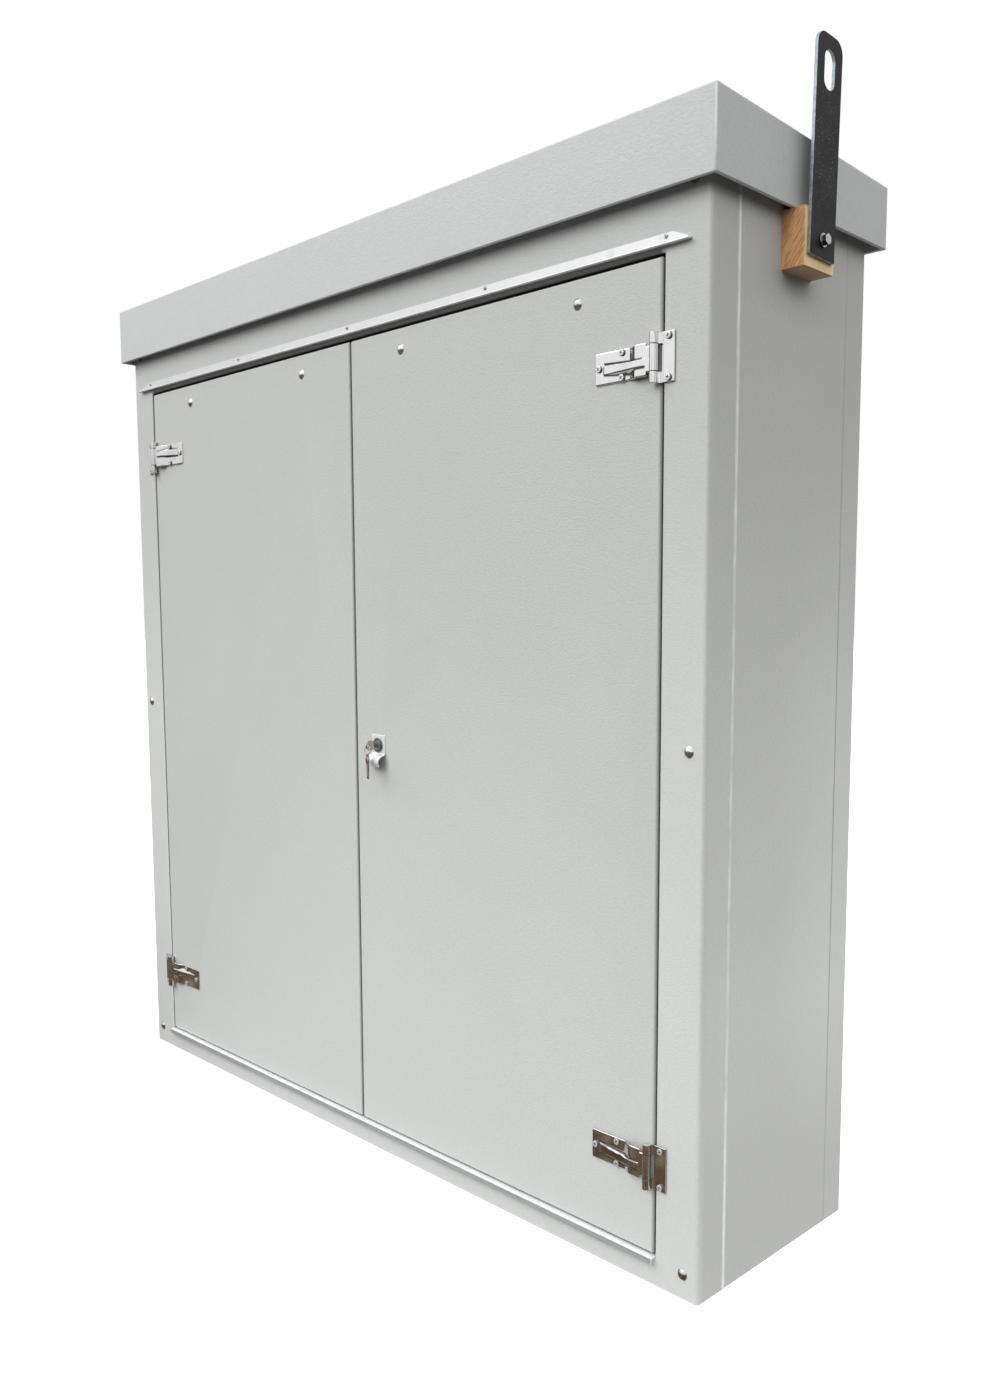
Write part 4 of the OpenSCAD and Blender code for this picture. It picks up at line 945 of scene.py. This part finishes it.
def hinge_place(side, z):
    """From a right-hand hinge in millimetres to its place: the left-hand one is turned over."""
    turn = Matrix.Identity(4) if side > 0 else Matrix.Rotation(math.pi, 4, "Y")
    return Matrix.Translation((side * PIN_X, PIN_Y, z)) @ turn @ Matrix.Scale(MM, 4)


for side, hand in HANDS:
    for level, z in (("upper", UPPER_Z), ("lower", LOWER_Z)):
        for kind, body, build in (
            ("frame_leaf", "cabinet", frame_leaf_mesh),
            ("door_leaf", hand + "_door", door_leaf_mesh),
        ):
            work = build()
            work.transform(hinge_place(side, z))
            node = hand + "_" + level + "_" + kind
            placed(node + "_pressing", work, stainless, body, [node], 30)
eased("hinge_pin_set", ["hinge_pins"], stainless, "cabinet", 0.3 * MM)


def hinge_screw_places(side, spots):
    """The places of screws on a leaf's face, for the two hinges of a side."""
    leaf_face = 4.0
    levels = (UPPER_Z, LOWER_Z)
    return [hinge_place(side, z) @ Vector((x, leaf_face, dz)) for z in levels for x, dz in spots]


HINGE_SCREW = (3.8 * MM, 2.2 * MM, 14 * MM)
frame_spots = [(16.3, 20.75), (16.3, -20.75)]
door_spots = [(-79.2, 0.0), (-46.7, 13.0), (-46.7, -13.0)]
both = hinge_screw_places(-1, frame_spots) + hinge_screw_places(1, frame_spots)
set_fasteners(
    "frame_leaf_fixings", pan_screw(*HINGE_SCREW), both, screw_zinc, "cabinet",
    ["frame_leaf_screws"], SCREW_TURN, 7,
)
for side, hand in HANDS:
    set_fasteners(
        hand + "_leaf_fixings", pan_screw(*HINGE_SCREW), hinge_screw_places(side, door_spots),
        screw_zinc, hand + "_door", [hand + "_leaf_screws"], SCREW_TURN, 11 + side,
    )


# Doors: a moulded tray with rounded front edges over a plywood core. Two dome bolts near the top
# hold a stiffening angle inside.
DOOR_BOLT_X = (0.1106, 0.419)
DOOR_BOLT_Z = 1.080
# painted light levels by height for the doors
DOOR_LEVELS = (1.0, 1.055, 0.955)
door_grp = gelcoat("door_gelcoat", DOOR_LEVELS, DOOR_LEVELS, DOOR_LEVELS, True)
for side, hand in HANDS:
    body = hand + "_door"
    low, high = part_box(hand + "_door_skin")

    def front_rim(place):
        """True on the border of the door's front face, with its corners."""
        inset = min(place.x - low.x, high.x - place.x, place.z - low.z, high.z - place.z)
        return abs(place.y - FRONT) < TOUCH and inset < 1.0 * MM

    eased(hand + "_door_tray", [hand + "_door_skin"], door_grp, body, 2.8 * MM, 5, front_rim)
    eased(hand + "_door_panel", [hand + "_door_core"], plywood, body, 0.3 * MM, 1)
    eased(
        hand + "_door_angle", [hand + "_door_stiffener"], aluminium, body,
        0.4 * MM, 1,
    )
    spots = [(side * x, FRONT, DOOR_BOLT_Z) for x in DOOR_BOLT_X]
    set_fasteners(
        hand + "_dome_bolts", dome_bolt(23 * MM), spots, stainless, body,
        [hand + "_door_bolts"],
    )


# Meeting edge: a thin strip of grey rubber, stuck on the edge of the left door. It closes the gap
# between the doors.
edge_rubber = rubber_finish("edge_rubber", 0.045)
eased("meeting_edge_seal", ["meeting_seal"], edge_rubber, "left_door", 0.3 * MM, 1)


# Shoot bolts and keeper: round stainless bars with thumb knobs slide in galvanised guides on the
# left door, and run behind wear plates at the top and the foot of the opening. A galvanised keeper
# on the same door takes the cam of the lock.
eased("top_bolt_bar", ["top_shoot_bolt"], satin_steel, "top_bolt", 0.6 * MM)
eased("bottom_bolt_bar", ["bottom_shoot_bolt"], satin_steel, "bottom_bolt", 0.6 * MM)
eased("bolt_guide_blocks", ["bolt_guides"], galvanised, "left_door", 0.5 * MM)
eased("wear_plates", ["bolt_wear_plates"], satin_steel, "cabinet", 0.3 * MM)
eased("keeper_plate", ["cam_keeper"], galvanised, "left_door", 0.5 * MM)


# Pull and lock: a bright steel plate held under the head of a zinc cam lock. Its foot is bent out
# and rolled down as a grip for the fingers, and the plug carries the cam behind the door.
LOCK_X = 0.054
LOCK_Z = 0.571


def bent_strip(start, heading, runs, thick, step=0.6 * MM):
    """Both sides of a bent sheet in (y, z): each run is a length and the turn made along it."""
    y, z = start
    left, right = [], []
    for length, turn in runs:
        count = max(1, round(length / step))
        for i in range(count):
            heading += turn / count / 2
            y += math.cos(heading) * length / count
            z += math.sin(heading) * length / count
            heading += turn / count / 2
            aside = (-math.sin(heading) * thick / 2, math.cos(heading) * thick / 2)
            left.append((y + aside[0], z + aside[1]))
            right.append((y - aside[0], z - aside[1]))
    return left + right[::-1]


def pull_mesh():
    """The plate hangs straight, bends out in a tight radius and rolls over in a wide one."""
    half_w, half_h, thick = 14 * MM, 14 * MM, 1.5 * MM
    runs = [
        (24 * MM, 0),
        (4.4 * MM, math.radians(-72)),
        (6 * MM, math.radians(8)),
        (12 * MM, math.radians(88)),
        (2.5 * MM, 0),
    ]
    outline = bent_strip((FRONT - thick / 2, LOCK_Z + half_h), math.radians(-90), runs, thick)
    work = bmesh.new()
    near = [work.verts.new((LOCK_X - half_w, y, z)) for y, z in outline]
    far = [work.verts.new((LOCK_X + half_w, y, z)) for y, z in outline]
    count = len(outline)
    half = count // 2
    for i in range(count):
        j = (i + 1) % count
        work.faces.new([near[i], near[j], far[j], far[i]])
    for row in (near, far):
        for i in range(half - 1):
            work.faces.new([row[i], row[i + 1], row[count - 2 - i], row[count - 1 - i]])
    bmesh.ops.recalc_face_normals(work, faces=work.faces)
    rim = [e for e in work.edges if e.calc_face_angle() > math.radians(60)]
    bmesh.ops.bevel(
        work, geom=rim, offset=0.35 * MM, segments=2, profile=0.5, affect="EDGES", clamp_overlap=True
    )
    return work


def bright_plate():
    plate = Finish("bright_plate")
    brushed = plate.noise(500, 3.0, 0.6, plate.stretched((1.0, 1.0, 0.08)))
    smudge = plate.noise(90, 3.0, 0.6)
    colour = plate.between(smudge.rise(0.4, 0.8), (0.93, 0.94, 0.96, 1), (0.86, 0.87, 0.90, 1))
    return plate.surface(
        {
            "Base Color": colour,
            "Metallic": 0.3,
            "Roughness": brushed * 0.12 + smudge * 0.1 + 0.24,
            "Normal": plate.bump(brushed, 0.1 * MM, 0.4),
        }
    )


def lock_face():
    """Zinc casting, worn bright on the face and dark in the corner round its rim."""
    zinc = Finish("lock_zinc")
    out = zinc.distance((LOCK_X, 0, LOCK_Z), zinc.stretched((1.0, 0.0, 1.0)))
    rim = out.rise(6.4 * MM, 8.6 * MM)
    cloud = zinc.noise(160, 3.0, 0.6)
    worn = zinc.between(cloud.rise(0.3, 0.7), grey(0.66, -0.03), grey(0.48, -0.03))
    return zinc.surface(
        {
            "Base Color": zinc.between(rim, worn, (0.17, 0.19, 0.21, 1)),
            "Metallic": 0.9,
            "Roughness": cloud * 0.14 + 0.2,
            "Normal": zinc.bump(cloud, 0.2 * MM, 0.3),
        }
    )


lock_zinc = lock_face()
placed("pull_pressing", pull_mesh(), bright_plate(), "right_door", ["pull_plate"])
eased("lock_body", ["lock_barrel"], lock_zinc, "right_door", 0.3 * MM)
eased("lock_fixing_nut", ["lock_nut"], galvanised, "right_door", 0.4 * MM)
eased("lock_core", ["lock_plug"], lock_zinc, "lock", 0.2 * MM)
eased("cam_arm", ["lock_cam"], galvanised, "lock", 0.4 * MM)
eased("cam_fixing", ["cam_screw"], satin_steel, "lock", 0.2 * MM)


# Keys: two flat nickel-plated keys with eased edges, one in the lock and the spare hanging from it
# on a wire ring. The ring is smaller here than in the CAD, and the spare key hangs edge-on.
nickel = polished_steel("plated_nickel", 0.46, 0.13, 0.14)
# the spare key's nickel, set darker than the key in the lock
dim_nickel = polished_steel("dim_nickel_key", 0.26, 0.2, 0.2)
RING_SHARE = 0.75
BOW_HOLE_OUT = 18.5 * MM
HOOK_IN = 4 * MM
HANG = math.radians(8)
EDGE_ON = math.radians(36)


def about(spot, change):
    """A change made about a spot instead of the origin."""
    return Matrix.Translation(spot) @ change @ Matrix.Translation(-spot)


eased("key_in_lock", ["key"], nickel, "lock", 0.25 * MM)
ring = eased("wire_ring", ["key_ring"], nickel, "spare_keys", 0.1 * MM)
hanging = eased("hanging_key", ["spare_key"], dim_nickel, "spare_keys", 0.25 * MM)
hole = Vector((LOCK_X, FRONT - BOW_HOLE_OUT, LOCK_Z))
key_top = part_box("spare_key")[1]
hook = Vector((LOCK_X, key_top.y - HOOK_IN, key_top.z))
ring_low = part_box("key_ring")[0]
straighter = Matrix.Rotation(HANG, 4, "X")
lifted = Matrix.Translation((hole - Vector((LOCK_X, ring_low.y, ring_low.z))) * (1 - RING_SHARE))
ring.data.transform(about(hole, straighter @ Matrix.Scale(RING_SHARE, 4)))
edge_on = about(hook, Matrix.Rotation(EDGE_ON, 4, "Z"))
hanging.data.transform(about(hole, straighter) @ lifted @ edge_on)


# Lifting bar: black flat bar with a slotted eye, bright on its cut edges, bolted through an oak
# packing block and the side wall to a plate inside.
def oak_finish():
    oak = Finish("sawn_oak")
    slant = (0, math.radians(-36), 0)
    streak = oak.noise(140, 4.0, 0.65, oak.stretched((4.0, 1.0, 0.35), slant))
    pores = oak.noise(260, 3.0, 0.6, oak.stretched((5.0, 1.0, 0.3), slant))
    tone = oak.noise(45, 3.0, 0.6)
    knot = oak.noise(120, 1.0, 0.5).rise(0.72, 0.78)
    cut_end = oak.between(streak.rise(0.34, 0.58), (0.74, 0.32, 0.11, 1), (1.0, 0.61, 0.29, 1))
    cut_end = oak.between(pores.rise(0.52, 0.66) * 0.6, cut_end, (0.42, 0.15, 0.04, 1))
    face = oak.between(tone.rise(0.3, 0.7), (1.0, 0.75, 0.45, 1), (0.92, 0.62, 0.33, 1))
    face = oak.between(pores.rise(0.54, 0.7) * 0.35, face, (0.62, 0.36, 0.16, 1))
    colour = oak.between(oak.kept("end_grain"), face, cut_end)
    # painted shade on the block's down-facing faces
    colour = oak.between(oak.kept("underside") * 0.62, colour, (0.16, 0.095, 0.045, 1))
    return oak.surface(
        {
            "Base Color": oak.between(knot * 0.6, colour, (0.20, 0.09, 0.035, 1)),
            "Roughness": pores * 0.2 + 0.5,
            "Normal": oak.bump(streak * 0.5 + pores, 0.4 * MM, 0.6),
        }
    )


def bar_finish():
    bar = Finish("black_mill_scale")
    face = bar.kept("rolled_face")
    scale = bar.noise(160, 5.0, 0.7)
    blotch = bar.noise(38, 4.0, 0.6)
    middle = bar.axis("Z").band(1.16, 1.20, 1.25, 1.31)
    speck = bar.noise(560, 2.0, 0.5).rise(0.66, 0.71) * (middle * 0.75 + 0.25)
    rust = bar.noise(85, 5.0, 0.75).rise(0.68, 0.74)
    dark = bar.between(blotch.rise(0.3, 0.8), (0.007, 0.007, 0.009, 1), (0.018, 0.018, 0.022, 1))
    dark = bar.between(scale.rise(0.62, 0.78) * 0.5, dark, (0.06, 0.062, 0.068, 1))
    dark = bar.between(rust * 0.5, dark, (0.16, 0.11, 0.05, 1))
    dark = bar.between(speck * 0.8, dark, (0.46, 0.38, 0.24, 1))
    bright = bar.between(scale.rise(0.3, 0.7), (0.27, 0.31, 0.34, 1), (0.45, 0.50, 0.53, 1))
    return bar.surface(
        {
            "Base Color": bar.between(face, bright, dark),
            "Metallic": 0.6 - face * 0.6,
            "Roughness": scale * 0.2 + 0.42,
            "Specular IOR Level": 0.2,
            "Normal": bar.bump(scale + blotch, 0.5 * MM, 0.45),
        }
    )


BOLT_SHARE = 0.8
packing = eased("oak_packing", ["lug_block"], oak_finish(), "cabinet", 0.6 * MM)
marked(packing, "end_grain", lambda normal: abs(normal.y) > 0.9)
marked(packing, "underside", lambda normal: normal.z < -0.9)
scaled = bar_finish()
flat_bar = eased("lifting_flat_bar", ["lifting_bar"], scaled, "cabinet", 0.5 * MM)
marked(flat_bar, "rolled_face", lambda normal: abs(normal.x) > 0.9)
dull_zinc = polished_steel("dull_zinc", 0.42, 0.15)
low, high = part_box("lug_washer")
bolt_axis = Vector((0, (low.y + high.y) / 2, (low.z + high.z) / 2))
slim = about(bolt_axis, Matrix.Diagonal((1, BOLT_SHARE, BOLT_SHARE, 1)))
for name, node, radius in (("lifting_bolt", "lug_bolt", 0.4), ("lifting_washer", "lug_washer", 0.25)):
    eased(name, [node], dull_zinc, "cabinet", radius * MM).data.transform(slim)
eased("inside_plate", ["lug_inner_plate"], galvanised, "cabinet", 0.5 * MM)


# Stage: a plain pale floor under an even sky, with two broad soft lights from the front left.
# The floor near the cabinet throws light back up at it, and mirrors as dark ground in the metal.
FLOOR_GLOW = 0.88
FLOOR_RETURN = 0.03


def pale_floor():
    ground = Finish("pale_floor")
    mirrored = ground.node("ShaderNodeLightPath", {}, {}, "Is Glossy Ray")
    thrown = ground.node("ShaderNodeLightPath", {}, {}, "Is Diffuse Ray")
    seen = ground.node("ShaderNodeLightPath", {}, {}, "Is Camera Ray")
    far = ground.distance((0.3, 0.1, 0))
    near = 1 - far.rise(0.42, 1.4)
    patch = ground.noise(7, 4.0, 0.7)
    grit = ground.noise(34, 4.0, 0.7, ground.stretched((1.0, 0.45, 1.0), (0, 0, 0.6)))
    soil = ground.between(patch.rise(0.35, 0.65), (0.022, 0.017, 0.012, 1), (0.085, 0.063, 0.040, 1))
    soil = ground.between(grit.rise(0.52, 0.64), soil, (0.34, 0.26, 0.17, 1))
    soil = ground.between(far.band(0.9, 2.2, 3.5, 5.5) * 0.75, soil, (0.055, 0.055, 0.053, 1))
    soil = ground.between(far.rise(6.0, 18.0), soil, (0.30, 0.29, 0.27, 1))
    ground.material.cycles.emission_sampling = "NONE"
    pale = ground.between(thrown, (0.90, 0.90, 0.89, 1), grey(FLOOR_RETURN))
    return ground.surface(
        {
            "Base Color": ground.between(mirrored, pale, soil),
            "Emission Color": ground.between(thrown * near + seen * 0.5, (0, 0, 0, 1), (1, 1, 1, 1)),
            "Emission Strength": FLOOR_GLOW,
            "Roughness": 0.9,
            "Specular IOR Level": 0.0,
        }
    )


FLOOR = 60.0
floor_mesh = bpy.data.meshes.new("floor")
floor_corners = [(-FLOOR, -FLOOR, 0), (FLOOR, -FLOOR, 0), (FLOOR, FLOOR, 0), (-FLOOR, FLOOR, 0)]
floor_mesh.from_pydata(floor_corners, [], [(0, 1, 2, 3)])
floor_mesh.materials.append(pale_floor())
floor = linked("floor", floor_mesh)

world = bpy.data.worlds.new("open_sky")
bpy.context.scene.world = world
world.use_nodes = True
sky = world.node_tree
height = sky.nodes.new("ShaderNodeSeparateXYZ")
sky.links.new(sky.nodes.new("ShaderNodeTexCoord").outputs["Generated"], height.inputs["Vector"])
rays = sky.nodes.new("ShaderNodeLightPath")


def sky_ramp(stops):
    """The sky's level by the height of the ray, 0 at the horizon and 1 straight up."""
    ramp = sky.nodes.new("ShaderNodeValToRGB")
    elements = ramp.color_ramp.elements
    while len(elements) < len(stops):
        elements.new(1.0)
    for stop, (position, level) in zip(elements, stops):
        stop.position = position
        stop.color = grey(level)
    sky.links.new(height.outputs["Z"], ramp.inputs["Fac"])
    return ramp.outputs["Color"]


def by_ray(ray, otherwise, picked):
    """One colour of the sky for a kind of ray, and another for the rest."""
    pick = sky.nodes.new("ShaderNodeMix")
    pick.data_type = "RGBA"
    sky.links.new(rays.outputs[ray], pick.inputs[0])
    sky.links.new(otherwise, pick.inputs[6])
    sky.links.new(picked, pick.inputs[7])
    return pick.outputs[2]


white = sky_ramp([(0.0, 1.0), (1.0, 1.0)])
lit = sky_ramp([(0.14, 0.0), (0.22, 0.75), (0.42, 0.85), (0.49, 2.3), (0.66, 2.3), (0.75, 1.35)])
mirrored_sky = sky_ramp([(0.0, 0.14), (0.06, 0.24), (0.115, 0.80), (0.17, 0.98)])
shown = by_ray("Is Camera Ray", by_ray("Is Glossy Ray", lit, mirrored_sky), white)
sky.links.new(shown, sky.nodes["Background"].inputs["Color"])


def soft_light(name, place, target, size, watts):
    light = bpy.data.lights.new(name, "AREA")
    light.shape = "RECTANGLE"
    light.size = size[0]
    light.size_y = size[1]
    light.energy = watts
    lamp = linked(name, light)
    lamp.location = place
    lamp.rotation_euler = (Vector(target) - Vector(place)).to_track_quat("-Z", "Y").to_euler()
    return lamp


FRONT_WATTS = 42
MIDDLE_WATTS = 32
soft_light("soft_front", (-1.0, -2.4, 3.4), (0, -0.15, 0.7), (3.0, 1.6), FRONT_WATTS)
middle = soft_light("soft_middle", (-0.8, -3.4, 2.2), (0, -0.15, 0.8), (3.0, 1.6), MIDDLE_WATTS)
middle.visible_glossy = False

# dark cards far off, which only the bright metal mirrors
card_mesh = bpy.data.meshes.new("dark_cards")
card_runs = [((-9, -3.2), (-9, 6), 3.6), ((-1.2, -7), (-0.6, -7), 2.6), ((6, -3.0), (6, -1.6), 3.0)]
card_spots = []
for (x0, y0), (x1, y1), top in card_runs:
    card_spots += [(x0, y0, 0), (x1, y1, 0), (x1, y1, top), (x0, y0, top)]
card_faces = [(i, i + 1, i + 2, i + 3) for i in range(0, len(card_spots), 4)]
card_mesh.from_pydata(card_spots, [], card_faces)
card_looks = {"Base Color": (0.03, 0.028, 0.025, 1), "Roughness": 1.0}
card_mesh.materials.append(Finish("dark_card").surface(card_looks))
cards = linked("dark_cards", card_mesh)
cards.visible_camera = False
cards.visible_diffuse = False
cards.visible_shadow = False
bpy.context.scene.view_settings.view_transform = "Standard"


# Camera: the photograph's viewpoint, from the front right at about half the cabinet's height. The
# focal length and the principal point are in pixels of the photograph.
PHOTO_WIDE, PHOTO_HIGH = 995, 1400
FOCAL = 1174.92
PRINCIPAL_X, PRINCIPAL_Y = 570.47, 747.81
camera_data = bpy.data.cameras.new("photo_view")
camera = linked("photo_view", camera_data)
right = Vector((0.72531, 0.68842, 0.00196))
up = Vector((-0.07316, 0.07425, 0.99455))
stand = Matrix.Translation((1.3256, -1.1130, 0.7327))
camera.matrix_world = stand @ Matrix((right, up, right.cross(up))).transposed().to_4x4()
camera_data.sensor_width = 36.0
camera_data.lens = camera_data.sensor_width * FOCAL / PHOTO_HIGH
camera_data.shift_x = (PHOTO_WIDE / 2 - PRINCIPAL_X) / PHOTO_HIGH
camera_data.shift_y = (PRINCIPAL_Y - PHOTO_HIGH / 2) / PHOTO_HIGH
camera_data.clip_start = 0.05
camera_data.clip_end = 300
bpy.context.scene.camera = camera
